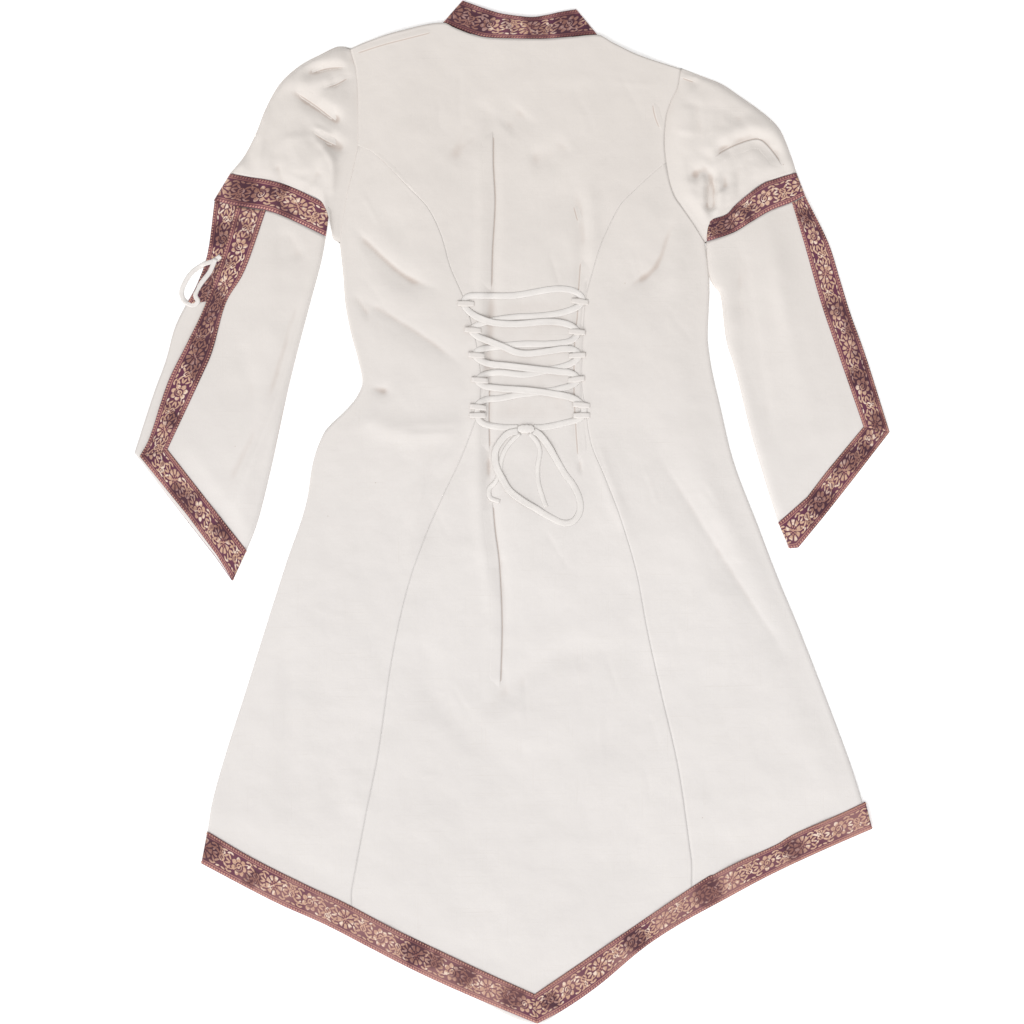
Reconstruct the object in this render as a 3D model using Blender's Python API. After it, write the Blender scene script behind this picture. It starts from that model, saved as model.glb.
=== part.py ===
"""A medieval gown laid flat on its front: cotton panels, brocade trims and a laced back.

Metres, +X to the right as it lies, +Y towards the collar, +Z up. The front panel lies on the
surface z = 0 and the back panels lie on it, so the back is up. The tables give millimetres.
"""
import math

import bpy
from mathutils import Vector
from mathutils.bvhtree import BVHTree

MM = 0.001
CLOTH = 1.2
TRIM = 1.0
GAP = 0.3
TAPE = 0.9
TAPE_GAP = 0.5
SEAM = 0.8
FRONT_NECK_GAP = 2.5
NECK_END_GAP = 5
FRONT_NECK_WIDER = 1.07
NECK_MIDDLE = 10
SLEEVE_COLUMNS = 14
ARMHOLE_GAP = {"left": 0.1, "right": 1.2}
SEAM_ROWS = 26
UNDERARM = 309
STEP_RUN = 10.0

# Edges that run down the gown: rows of (y, x).
LEFT_EDGE = [
    (533, -186), (505, -179), (473, -177), (421, -177), (393, -183), (358, -191), (309, -198),
    (271, -194), (243, -192), (209, -186), (175, -177), (149, -172), (133, -178), (119, -189),
    (91, -216), (56, -229), (13, -236), (-60, -260), (-129, -282), (-212, -308), (-281, -330),
    (-336, -345), (-367, -350), (-405, -356),
]
RIGHT_EDGE = [
    (510, 194), (490, 191), (473, 183), (453, 177), (425, 175), (402, 177), (380, 181), (363, 187),
    (351, 195), (329, 210), (309, 222), (257, 227), (202, 225), (174, 228), (119, 240), (64, 253),
    (-19, 284), (-74, 305), (-129, 328), (-185, 350), (-240, 371), (-295, 391), (-363, 412),
]
LEFT_PRINCESS = [
    (421, -177), (415, -163), (402, -147), (374, -120), (349, -96), (318, -81), (283, -71),
    (243, -54), (209, -44), (180, -38), (151, -35), (121, -37), (99, -44), (65, -57), (25, -76),
    (-27, -99), (-88, -120), (-171, -138), (-275, -153), (-350, -168), (-435, -184),
]
RIGHT_PRINCESS = [
    (402, 177), (387, 159), (373, 144), (354, 125), (332, 113), (310, 103), (278, 93), (241, 84),
    (209, 82), (151, 80), (121, 84), (82, 90), (42, 106), (-5, 124), (-73, 144), (-133, 155),
    (-201, 170), (-298, 192), (-403, 207),
]

# Edges that run across the gown: rows of (x, y).
SHOULDER_LEFT = [(-186, 533), (-170, 540), (-131, 553), (-79, 563)]
SHOULDER_RIGHT = [(98, 549), (116, 540), (145, 526), (194, 510)]
BACK_NECK = [(-79, 563), (-66, 557), (-41, 548), (-23, 545), (12, 544), (38, 544), (65, 546), (98, 549)]
FRONT_NECK = [
    (-79, 563), (-64, 512), (-42, 474), (-15, 457), (12, 451), (40, 456), (66, 470), (87, 502),
    (98, 549),
]
COLLAR_TOP = [(-57, 588), (-23, 576), (-6, 572), (21, 569), (38, 571), (56, 575), (74, 578)]
COLLAR_FRONT_TOP = [
    (-57, 588), (-42, 535), (-24, 500), (-5, 486), (12, 482), (32, 486), (50, 500), (66, 535), (74, 578),
]
HEM = [
    (-357, -404), (-275, -447), (-215, -474), (-161, -502), (-106, -530), (-46, -557), (29, -588),
    (61, -571), (101, -543), (150, -502), (192, -474), (241, -447), (293, -419), (350, -392),
    (414, -364),
]
HEM_TRIM_TOP = [
    (-350, -367), (-299, -397), (-233, -430), (-192, -449), (-139, -477), (-85, -503), (-32, -528),
    (26, -554), (205, -432), (233, -416), (260, -402), (302, -383), (326, -369), (372, -349),
    (406, -333),
]

# Folds of the back: (points, half width, height), height below 0 for a trough.
BACK_FOLDS = [
    ([(-184, 326), (-145, 288), (-121, 268), (-94, 257)], 13, -2.5),
    ([(-198, 330), (-160, 305), (-120, 292)], 16, 2.0),
    ([(-187, 251), (-162, 222)], 9, -1.6),
    ([(-179, 247), (-108, 205), (-55, 167)], 14, -1.8),
    ([(-190, 112), (-120, 92), (-48, 99)], 12, 2.2),
    ([(-176, 146), (-140, 138)], 8, -2.2),
    ([(190, 349), (178, 317), (163, 281), (135, 259)], 13, -2.4),
    ([(205, 330), (196, 290), (175, 255)], 14, 1.8),
    ([(-75, 401), (-53, 431), (-20, 470)], 16, -2.2),
    ([(-9, 439), (15, 464)], 14, -2.0),
    ([(17, 403), (47, 412), (67, 426)], 14, -2.0),
    ([(-23, 455), (-20, 344), (-24, 227), (-28, 151), (-25, 17), (-10, -102), (-14, -205)], 7, -2.2),
    ([(-36, 455), (-33, 344), (-37, 227), (-39, 17), (-24, -102), (-28, -205)], 8, 1.8),
    ([(70, 381), (80, 330), (80, 277), (74, 150), (77, 58)], 7, -2.0),
    ([(88, 381), (94, 330), (92, 277)], 8, 1.5),
    ([(170, 63), (245, -58), (313, -163), (331, -205)], 16, -1.8),
    ([(205, 63), (275, -58), (335, -150)], 16, 1.6),
    ([(-100, -136), (-94, -194), (-71, -234), (-25, -274)], 18, -1.6),
    ([(153, -159), (147, -205), (124, -251), (67, -280)], 18, -1.6),
    ([(-37, -240), (-14, -217), (32, -177), (55, -165), (124, -157)], 16, -1.8),
    ([(-258, -159), (-255, -205), (-261, -309)], 16, -1.5),
    ([(-183, -292), (-181, -349)], 14, 1.4),
    ([(-71, 78), (-100, 33), (-120, -25)], 9, 2.0),
    ([(-52, 74), (-82, 20), (-100, -40)], 8, -1.8),
    ([(96, 78), (112, 30), (135, -30)], 9, 1.8),
    ([(0, 60), (8, -40), (14, -130)], 22, 1.8),
    ([(-120, 460), (-110, 330)], 30, 1.2),
    ([(120, 470), (110, 330)], 30, 1.2),
]
LEFT_CAP_FOLDS = [
    ([(-244, 503), (-184, 512)], 8, -2.6),
    ([(-225, 517), (-188, 522)], 7, 2.2),
    ([(-209, 490), (-184, 500)], 8, -2.4),
    ([(-250, 490), (-205, 500)], 9, 2.4),
    ([(-244, 479), (-215, 462), (-192, 444)], 10, -4.0),
    ([(-225, 476), (-195, 462)], 10, 2.5),
    ([(-215, 430), (-190, 416)], 10, -4.0),
    ([(-222, 420), (-205, 380), (-200, 360)], 12, 3.0),
    ([(-288, 470), (-290, 390)], 9, 2.4),
    ([(-303, 430), (-303, 390)], 6, -2.0),
    ([(-250, 440), (-240, 385)], 16, 3.0),
]
RIGHT_CAP_FOLDS = [
    ([(197, 502), (216, 490)], 9, -2.4),
    ([(205, 470), (200, 430)], 14, 2.2),
    ([(233, 403), (246, 415), (273, 425), (292, 419), (313, 395)], 9, -4.0),
    ([(235, 420), (273, 440), (300, 428)], 12, 3.2),
    ([(205, 385), (222, 388), (240, 380)], 9, -3.0),
    ([(228, 380), (229, 345)], 7, -4.5),
    ([(240, 372), (252, 352)], 9, 3.0),
    ([(258, 455), (225, 405)], 14, 2.4),
]
LEFT_LOWER_FOLDS = [
    ([(-272, 150), (-300, 60), (-318, -20)], 12, 2.2),
    ([(-262, 330), (-262, 250)], 12, -1.6),
    ([(-250, 300), (-285, 180)], 14, 1.4),
]
RIGHT_LOWER_FOLDS = [
    ([(262, 310), (270, 200), (290, 90)], 12, -1.6),
    ([(300, 320), (320, 200), (345, 100)], 14, 1.8),
    ([(240, 290), (256, 200)], 12, 1.4),
]

# Outlines of the sleeves, as they lie: lists of (x, y).
SLEEVES = {
    "left": {
        "cap": [(-187, 533), (-200, 535), (-218, 527), (-244, 513), (-267, 492), (-283, 464),
                (-294, 436), (-308, 409), (-324, 389)],
        "armhole": [(-187, 533), (-180, 505), (-178, 473), (-178, 421), (-184, 393), (-192, 358),
                    (-199, 309)],
        "underarm": [(-199, 309), (-207, 318), (-206, 353)],
        "band_top": [(-324, 389), (-302, 385), (-283, 382), (-263, 377), (-243, 369), (-209, 352)],
        "band_end": [(-209, 352), (-214, 317)],
        "band_bottom": [(-343, 358), (-316, 352), (-283, 347), (-263, 340), (-243, 331), (-214, 317)],
        "slit": [(-317, 351), (-332, 297), (-353, 237), (-375, 191), (-396, 148), (-416, 87), (-428, 64)],
        "slit_inside": [(-283, 346), (-307, 278), (-329, 240), (-344, 186), (-359, 151), (-396, 72)],
        "edge_hem": [(-428, 64), (-373, -4), (-339, -50), (-321, -79)],
        "edge_hem_inside": [(-396, 72), (-339, -1), (-305, -44)],
        "fold": [(-214, 316), (-220, 285), (-235, 229), (-256, 147), (-277, 50), (-292, -10), (-305, -44)],
        "under_slit": [(-342, 357), (-350, 297), (-362, 262), (-386, 216), (-398, 174), (-413, 133),
                       (-434, 68)],
        "under_hem": [(-434, 68), (-377, -6), (-341, -52), (-322, -79)],
        "folds": LEFT_CAP_FOLDS,
        "lower_folds": LEFT_LOWER_FOLDS,
    },
    "right": {
        "cap": [(195, 510), (216, 502), (241, 492), (262, 478), (282, 464), (299, 450), (310, 436),
                (321, 409), (327, 390)],
        "armhole": [(195, 510), (192, 490), (184, 473), (178, 453), (176, 425), (178, 402),
                    (182, 380), (188, 363), (196, 351), (211, 329), (223, 309)],
        "underarm": [(223, 309), (226, 314), (226, 336)],
        "band_top": [(327, 390), (306, 384), (286, 376), (258, 354), (246, 342), (229, 335)],
        "band_end": [(229, 335), (232, 311)],
        "band_bottom": [(337, 364), (321, 356), (298, 347), (274, 333), (254, 321), (232, 311)],
        "slit": [(337, 363), (363, 311), (377, 267), (389, 228), (407, 178), (434, 92)],
        "slit_inside": [(322, 355), (337, 305), (355, 241), (375, 182), (404, 98)],
        "edge_hem": [(434, 92), (394, 40), (361, -2), (329, -41), (319, -42)],
        "edge_hem_inside": [(404, 98), (361, 46), (339, 17), (306, -12)],
        "fold": [(232, 310), (226, 285), (240, 250), (246, 198), (258, 158), (277, 82), (306, -12)],
        "under_slit": [(334, 361), (360, 311), (374, 267), (386, 228), (404, 178), (430, 94)],
        "under_hem": [(430, 94), (390, 42), (357, 0), (326, -38), (318, -41)],
        "folds": RIGHT_CAP_FOLDS,
        "lower_folds": RIGHT_LOWER_FOLDS,
    },
}

# Lacing loops: the middle of each, rows of (x, y).
LEFT_LOOPS = [(-53, 239.5), (-45, 209), (-41, 180), (-37, 151.5), (-39, 120.5), (-39.5, 111)]
RIGHT_LOOPS = [(78, 242), (74.5, 207), (75, 180), (74, 152.5), (80, 123), (80, 111)]
LOOP_LENGTH = 19.0
LOOP_WIDTH = 4.4
# A loop from foot to foot: rows of (share of its length, share of its rise).
LOOP_PROFILE = [(-0.5, 0), (-0.46, 0.1), (-0.39, 1), (0, 1.08), (0.39, 1), (0.46, 0.1), (0.5, 0)]

# Routes of the tape: rows of (x, y, over), over being 1 where it lies on another strand.
LACE_ROUTE = [
    (7, 97, 0), (-8, 97, 0), (-24, 99, 0), (-35, 103, 0), (-39.5, 110.5, 0), (-39.5, 118, 0),
    (-37.5, 125, 0), (-28, 129.5, 0), (-14, 130.5, 0), (9, 135, 0), (39, 138.5, 0), (55, 141.5, 0),
    (69, 146, 0), (75.5, 152.5, 0),
    (68, 159.5, 0.5), (52, 161.5, 1), (20, 165, 1), (-5, 168, 1), (-24, 170, 1), (-36, 174, 0.4),
    (-42.5, 180.5, 0), (-35, 187, 0), (-8, 191, 0), (15, 193, 0), (43, 193, 0), (66, 196, 0),
    (75.5, 205.5, 0), (68, 214, 0.5), (53, 218, 1), (35, 218.5, 1), (5, 216, 1), (-21, 217.5, 1),
    (-39, 223.5, 1), (-51, 232, 0.3), (-55, 240, 0), (-49, 248, 0), (-23, 248.5, 0), (5, 249, 0),
    (43, 255.5, 0), (62, 256, 0), (75, 252, 0), (81, 243, 0), (73, 234.5, 0), (53, 228, 0),
    (28, 225, 0), (5, 224, 0), (-18, 221, 0), (-36, 216.5, 0), (-46.5, 209.5, 0), (-40, 202, 0.3),
    (-27, 196.5, 1), (-8, 189, 1), (5, 183.5, 1), (20, 182, 1), (43, 185, 1), (60, 187.5, 1),
    (71, 186.5, 0.3), (77, 180, 0), (71, 172.5, 0), (60, 167.5, 0), (43, 163.5, 0), (15, 158, 0),
    (-14, 160.5, 0), (-31, 158, 0), (-39, 151.5, 0), (-32, 145, 0.3), (-14, 142, 1), (15, 140, 1),
    (43, 136.5, 1), (68, 131.5, 1), (80, 124, 0), (82.5, 116, 0), (78, 107.5, 0), (60, 102, 0),
    (38, 97.5, 0), (25, 97, 0),
]
BOW_ROUTE = [
    (7, 93, 1), (-4.5, 90, 1), (-14, 80, 1), (-19.5, 68, 1), (-18, 52.5, 1), (-11, 38, 1),
    (-3, 25, 1), (11, 13.5, 1), (28, 3.5, 0.6), (43, -5.5, 0), (58, -12.5, 0), (70.5, -10.5, 0),
    (78, 1, 0), (77.5, 14.5, 0), (71, 30, 0), (60, 45, 0), (50.5, 61, 0.4), (42, 75.5, 1),
    (33, 87.5, 1), (25, 93.5, 1),
]
LEFT_END_ROUTE = [
    (9, 90.5, 0), (2, 84, 0), (-7, 73, 0), (-12.5, 59, 0), (-14, 47, 0), (-19, 35, 0), (-26, 27, 0),
    (-25, 16.5, 0), (-14, 12, 0),
]
RIGHT_END_ROUTE = [
    (20, 90.5, 0), (26, 84.5, 0), (30.5, 77, 0), (32, 67, 0), (29.5, 52.5, 0), (30, 35, 0),
    (35, 17, 0), (39, 6, 0),
]
SLEEVE_TIE_ROUTE = [
    (-331, 274, 1), (-343, 284, 1), (-358, 287, 1), (-369, 277, 0.5), (-377, 261, 0), (-380, 249, 0),
    (-375, 240, 0), (-363, 241, 0), (-351, 252, 0), (-342, 262, 0), (-333, 268, 0),
]
TAPE_WIDTH = 6.6
TIE_WIDTH = 5.0
KNOT = {"x": 16.0, "y": 95.5, "length": 15.0, "width": 9.0, "height": 5.0}


def blend(value, start, end):
    """0 before start, 1 after end, smooth between."""
    share = min(1.0, max(0.0, (value - start) / (end - start)))
    return share * share * (3 - 2 * share)


def reading(table):
    """A table of (place, value) rows as a function: straight between rows, level past them."""
    rows = sorted(table)

    def value(place):
        if place <= rows[0][0]:
            return rows[0][1]
        for (place_a, value_a), (place_b, value_b) in zip(rows, rows[1:]):
            if place <= place_b:
                return value_a + (value_b - value_a) * (place - place_a) / (place_b - place_a)
        return rows[-1][1]

    return value


def along(points, share):
    """The point at a share of the length of a line of points."""
    points = [Vector(point) for point in points]
    lengths = [(b - a).length for a, b in zip(points, points[1:])]
    left = min(1.0, max(0.0, share)) * sum(lengths)
    for a, b, length in zip(points, points[1:], lengths):
        if left <= length:
            return a.lerp(b, left / length)
        left -= length
    return points[-1].copy()


def patch(top, bottom, left, right, rows, columns):
    """A grid between four lines that meet at their ends: the Coons patch."""
    grid = []
    for v in rows:
        line = []
        for u in columns:
            across = along(top, u).lerp(along(bottom, u), v)
            down = along(left, v).lerp(along(right, v), u)
            corner = (
                along(top, 0).lerp(along(top, 1), u).lerp(along(bottom, 0).lerp(along(bottom, 1), u), v)
            )
            line.append(across + down - corner)
        grid.append(line)
    return grid


def evenly(count, start=0.0, end=1.0):
    """count steps from start to end, both ends included."""
    return [start + (end - start) * k / count for k in range(count + 1)]


def fold_height(x, y, folds):
    """The height of all folds at a place, each a soft ridge or trough along its line."""
    place = Vector((x, y))
    height = 0.0
    for points, half_width, rise in folds:
        near = 1e9
        for a, b in zip(points, points[1:]):
            a, b = Vector(a), Vector(b)
            share = max(0.0, min(1.0, (place - a).dot(b - a) / (b - a).length_squared))
            near = min(near, (place - a.lerp(b, share)).length)
        height += rise * math.exp(-((near / half_width) ** 2))
    return height


left_edge = reading(LEFT_EDGE)
right_edge = reading(RIGHT_EDGE)
left_princess = reading(LEFT_PRINCESS)
right_princess = reading(RIGHT_PRINCESS)
hem_trim_top = reading(HEM_TRIM_TOP)


def back_height(x, y):
    """The underside of the back: on the front at the edges, looser and folded inside."""
    edge = min(x - left_edge(y), right_edge(y) - x)
    over_trim = (TRIM + GAP) * blend(y - hem_trim_top(x), 70, 25)
    inside = blend(edge, 2, 45) * blend(y - hem_trim_top(x), 10, 70)
    loose = max(0.0, 2.6 + fold_height(x, y, BACK_FOLDS)) * inside
    return CLOTH + GAP + over_trim + loose


def column(share, left, right, lines):
    """Where a column meets each line across the gown, from its top to its hem."""
    places = []
    for across in lines:
        y = across(0.5 * (left(0) + right(0)))
        for _ in range(60):
            x = left(y) * (1 - share) + right(y) * share
            y = 0.5 * (y + across(x))
        places.append(y)
    return places


def panel_grid(left, right, shares, lines, steps):
    """Rows of (x, y): lines across the gown, with the given steps between each two of them."""
    grid = []
    stops = [column(share, left, right, lines) for share in shares]
    for part, count in enumerate(steps):
        first = 0 if part == 0 else 1
        for k in range(first, count + 1):
            row = []
            for share, stop in zip(shares, stops):
                y = stop[part] + (stop[part + 1] - stop[part]) * k / count
                row.append(Vector((left(y) * (1 - share) + right(y) * share, y)))
            grid.append(row)
    return grid


def shifted(line, distance):
    """The same line, moved along its values."""
    return lambda place: line(place) + distance


def material(name, color, roughness, metallic=0.0):
    """A plain finish."""
    finish = bpy.data.materials.new(name)
    finish.use_nodes = True
    shader = finish.node_tree.nodes["Principled BSDF"]
    shader.inputs["Base Color"].default_value = (*color, 1)
    shader.inputs["Roughness"].default_value = roughness
    shader.inputs["Metallic"].default_value = metallic
    return finish


def solid(name, points, faces, finish):
    """An object from points in millimetres and faces, its faces turned to point out."""
    mesh = bpy.data.meshes.new(name)
    mesh.from_pydata([Vector(point) * MM for point in points], [], faces)
    volume = 0.0
    for triangle in faces:
        a, b, c = (Vector(points[k]) for k in triangle)
        volume += a.dot(b.cross(c))
    if volume < 0:
        mesh.flip_normals()
    mesh.materials.append(finish)
    piece = bpy.data.objects.new(name, mesh)
    bpy.context.scene.collection.objects.link(piece)
    return piece


def cells_solid(name, upper, lower, cells, finish):
    """A wall of cloth: the given cells of two matching grids, joined by a rim round them."""
    index, points, faces, rim = {}, [], [], {}

    def corner(side, place):
        if (side, place) not in index:
            index[side, place] = len(points)
            points.append((upper, lower)[side][place[0]][place[1]])
        return index[side, place]

    for i, j in cells:
        ring = [(i, j), (i, j + 1), (i + 1, j + 1), (i + 1, j)]
        for triangle in ((ring[0], ring[1], ring[2]), (ring[0], ring[2], ring[3])):
            faces.append([corner(0, place) for place in triangle])
            faces.append([corner(1, place) for place in reversed(triangle)])
        for a, b in zip(ring, ring[1:] + ring[:1]):
            if (b, a) in rim:
                del rim[b, a]
            else:
                rim[a, b] = True
    for a, b in rim:
        faces.append([corner(0, b), corner(0, a), corner(1, a)])
        faces.append([corner(0, b), corner(1, a), corner(1, b)])
    return solid(name, points, faces, finish)


def all_cells(grid):
    """Every cell of a grid."""
    return [(i, j) for i in range(len(grid) - 1) for j in range(len(grid[0]) - 1)]


def ring_solid(name, outer, inner, finish):
    """A flattened tube: each row of points is one closed section, with a wall between the two."""
    count = len(outer[0])
    points = [point for row in outer for point in row] + [point for row in inner for point in row]
    shift = len(outer) * count
    faces = []

    def quad(a, b, c, d):
        faces.append([a, b, c])
        faces.append([a, c, d])

    for i in range(len(outer) - 1):
        for j in range(count):
            a, b = i * count + j, i * count + (j + 1) % count
            quad(a, b, b + count, a + count)
            quad(shift + b, shift + a, shift + a + count, shift + b + count)
    for j in range(count):
        first, second = j, (j + 1) % count
        quad(first, shift + first, shift + second, second)
        last = (len(outer) - 1) * count
        quad(last + second, shift + last + second, shift + last + first, last + first)
    return solid(name, points, faces, finish)


def raised(grid, height):
    """A grid of (x, y) with each point at the height that height(x, y) gives."""
    return [[Vector((p.x, p.y, height(p.x, p.y))) for p in row] for row in grid]


def lifted(grid, distance):
    """A grid moved up."""
    return [[p + Vector((0, 0, distance)) for p in row] for row in grid]


def make_front(cotton, brocade):
    """The front, flat on the surface but for its hem, which lies on the front's trim."""
    neck = [(NECK_MIDDLE + (x - NECK_MIDDLE) * FRONT_NECK_WIDER, y) for x, y in FRONT_NECK[1:-1]]
    ends = [
        (SHOULDER_LEFT[-1][0] - NECK_END_GAP, SHOULDER_LEFT[-1][1]),
        (SHOULDER_RIGHT[0][0] + NECK_END_GAP, SHOULDER_RIGHT[0][1]),
    ]
    top = reading(SHOULDER_LEFT[:-1] + [ends[0]] + neck + [ends[1]] + SHOULDER_RIGHT[1:])
    trim_top = shifted(hem_trim_top, 1.5)
    hem = shifted(reading(HEM), 2.5)
    lines = [
        shifted(top, -FRONT_NECK_GAP), lambda x: UNDERARM, shifted(trim_top, STEP_RUN), trim_top, hem,
    ]
    shares = [
        0, 0.08, 0.17, 0.265, 0.305, 0.34, 0.4, 0.46, 0.52, 0.58, 0.64, 0.69, 0.725, 0.765, 0.84, 0.92, 1,
    ]
    left = shifted(left_edge, 1.5)
    right = shifted(right_edge, -1.5)
    grid = panel_grid(left, right, shares, lines, [9, 9, 1, 2])
    rows = len(grid)
    under = []
    for i, row in enumerate(grid):
        height = TRIM + GAP if i >= rows - 3 else 0.0
        under.append([Vector((p.x, p.y, height)) for p in row])
    cells_solid("front_panel", lifted(under, CLOTH), under, all_cells(grid), cotton)
    floor = [[Vector((p.x, p.y, 0)) for p in row] for row in grid[-3:]]
    cells_solid("hem_trim_front", lifted(floor, TRIM), floor, all_cells(floor), brocade)


def make_back(cotton, brocade):
    """The three back panels and the trim along their hem. Returns the panels."""
    neck = reading(SHOULDER_LEFT + BACK_NECK[1:-1] + SHOULDER_RIGHT)
    across = reading([(x, y) for y, x in (LEFT_PRINCESS[0], RIGHT_PRINCESS[0])])
    down = [hem_trim_top, reading(HEM)]
    cuts = {
        "back_side_left": (
            side_line(LEFT_EDGE), shifted(left_princess, -GAP / 2),
            [0, 0.05, 0.12, 0.24, 0.4, 0.56, 0.72, 0.87, 1],
            [armhole_top(LEFT_EDGE, LEFT_PRINCESS)] + down, [SEAM_ROWS, 2],
        ),
        "back_centre": (
            left_centre, right_centre,
            [0, 0.07, 0.14, 0.21, 0.28, 0.34, 0.4, 0.46, 0.53, 0.6, 0.66, 0.72, 0.79, 0.86, 0.93, 1],
            [shifted(neck, -SEAM), across] + down, [5, SEAM_ROWS, 2],
        ),
        "back_side_right": (
            shifted(right_princess, GAP / 2), side_line(RIGHT_EDGE),
            [0, 0.13, 0.28, 0.44, 0.6, 0.76, 0.88, 0.95, 1],
            [armhole_top(RIGHT_EDGE, RIGHT_PRINCESS)] + down, [SEAM_ROWS, 2],
        ),
    }
    panels, hem_rows = {}, [[], [], []]
    for name, (left, right, shares, lines, steps) in cuts.items():
        grid = panel_grid(left, right, shares, lines, steps)
        under = raised(grid, back_height)
        panels[name] = cells_solid(name, lifted(under, CLOTH), under, all_cells(grid), cotton)
        for k in range(3):
            hem_rows[k] += under[len(under) - 3 + k]
    trim = lifted(hem_rows, CLOTH + GAP)
    cells_solid("hem_trim_back", lifted(trim, TRIM), trim, all_cells(trim), brocade)
    return panels


def left_centre(y):
    """The centre back's left edge: armhole above, princess seam below."""
    return (left_edge(y) if y > LEFT_PRINCESS[0][0] else left_princess(y)) + GAP / 2


def right_centre(y):
    """The centre back's right edge: armhole above, princess seam below."""
    return (right_edge(y) if y > RIGHT_PRINCESS[0][0] else right_princess(y)) - GAP / 2


def side_line(edge):
    """The side of the gown below the armhole, straight up above it."""
    return reading([row for row in edge if row[0] <= UNDERARM])


def armhole_top(edge, princess):
    """The armhole's lower part, which is the top of a side back."""
    rows = [(x, y) for y, x in edge if UNDERARM <= y < princess[0][0]]
    return reading(rows + [(princess[0][1], princess[0][0])])


def make_collar(brocade):
    """The collar band, one flattened ring: its back half over its lower front half."""
    around = evenly(14)
    rows = (0.0, 0.5, 1.0)
    outer, inner = [], []
    for v in rows:
        back = [along(COLLAR_TOP, u).lerp(along(BACK_NECK, u), v) for u in around]
        front = [along(COLLAR_FRONT_TOP, u).lerp(along(FRONT_NECK, u), v) for u in around]
        above, above_in, below, below_in = [], [], [], []
        for u, p, q in zip(around, back, front):
            base = CLOTH + GAP + 1.3 * math.sin(math.pi * u)
            above.append((p.x, p.y, base + CLOTH))
            above_in.append((inset(p.x, u), p.y, base))
            below.append((q.x, q.y, 0.0))
            below_in.append((inset(q.x, u), q.y, CLOTH))
        outer.append(above + below[::-1])
        inner.append(above_in + below_in[::-1])
    return ring_solid("collar", outer, inner, brocade)


def inset(x, share):
    """A fold's inner point lies one wall inside its outer one."""
    if share <= 0.001:
        return x + CLOTH
    if share >= 0.999:
        return x - CLOTH
    return x


def tube(name, grid, height, wall, finish):
    """A flattened sleeve piece over a grid: flat below, with its folds above."""
    outer, inner = [], []
    last = len(grid[0]) - 1
    for row in grid:
        below, above, below_in, above_in = [], [], [], []
        for k, p in enumerate(row):
            rise = height(p.x, p.y) * blend(min(k, last - k), 0, 3)
            q = p.copy()
            if k == 0:
                q = p + (row[1] - p).normalized() * wall
            if k == last:
                q = p + (row[last - 1] - p).normalized() * wall
            below.append((p.x, p.y, 0.0))
            above.append((p.x, p.y, 2 * wall + GAP + rise))
            below_in.append((q.x, q.y, wall))
            above_in.append((q.x, q.y, wall + GAP + rise))
        outer.append(below + above[::-1])
        inner.append(below_in + above_in[::-1])
    return ring_solid(name, outer, inner, finish)


def make_upper_sleeve(side, cut, cotton):
    """An upper sleeve: a tube from the armhole to the arm band, gathered at its cap."""
    end = [(x, y + SEAM) for x, y in cut["band_top"][:-1]] + [cut["underarm"][-1]]
    cap = cut["cap"][:-1] + [end[0]]
    grid = patch(cut["armhole"], end, cap, cut["underarm"], evenly(9), evenly(SLEEVE_COLUMNS))
    outward = -ARMHOLE_GAP["left"] if side == "left" else ARMHOLE_GAP["right"]
    grid = [
        [Vector((p.x + outward * (1 - i / 9), p.y)) for p in row]
        for i, row in enumerate(grid)
    ]

    def height(x, y):
        return max(0.0, 4.5 + fold_height(x, y, cut["folds"]))

    return tube("sleeve_upper_" + side, grid, height, CLOTH, cotton)


def make_arm_band(side, cut, brocade):
    """An arm band: a flattened ring between the upper and the lower sleeve."""
    grid = patch(
        cut["band_top"], cut["band_bottom"], [cut["band_top"][0], cut["band_bottom"][0]],
        cut["band_end"], [0.02, 0.35, 0.68, 0.985], evenly(SLEEVE_COLUMNS)
    )
    return tube("arm_band_" + side, grid, lambda x, y: 2.6, CLOTH, brocade)


def lower_half(cut, slit, hem, rows, columns):
    """One layer of a lower sleeve, with its trim's strip as the first column and last row."""
    shown_top = [p for p in cut["band_bottom"] if abs(p[0]) < abs(slit["inside"][0][0])]
    top = [slit["inside"][0]] + shown_top
    top = [Vector(p) + Vector((0, -SEAM)) for p in top]
    inside = patch(top, hem["inside"], slit["inside"], cut["fold"], evenly(rows), evenly(columns))
    corner = Vector(slit["outside"][-1])
    strip_end = 1 - 19.0 / sum(
        (Vector(b) - Vector(a)).length for a, b in zip(slit["outside"], slit["outside"][1:])
    )
    grid = []
    for i, row in enumerate(inside):
        grid.append([along(slit["outside"], strip_end * i / rows)] + row)
    strip_start = 19.0 / sum(
        (Vector(b) - Vector(a)).length for a, b in zip(hem["outside"], hem["outside"][1:])
    )
    last = [corner]
    for j in range(columns + 1):
        last.append(along(hem["outside"], strip_start + (1 - strip_start) * j / columns))
    grid.append(last)
    return grid


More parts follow.
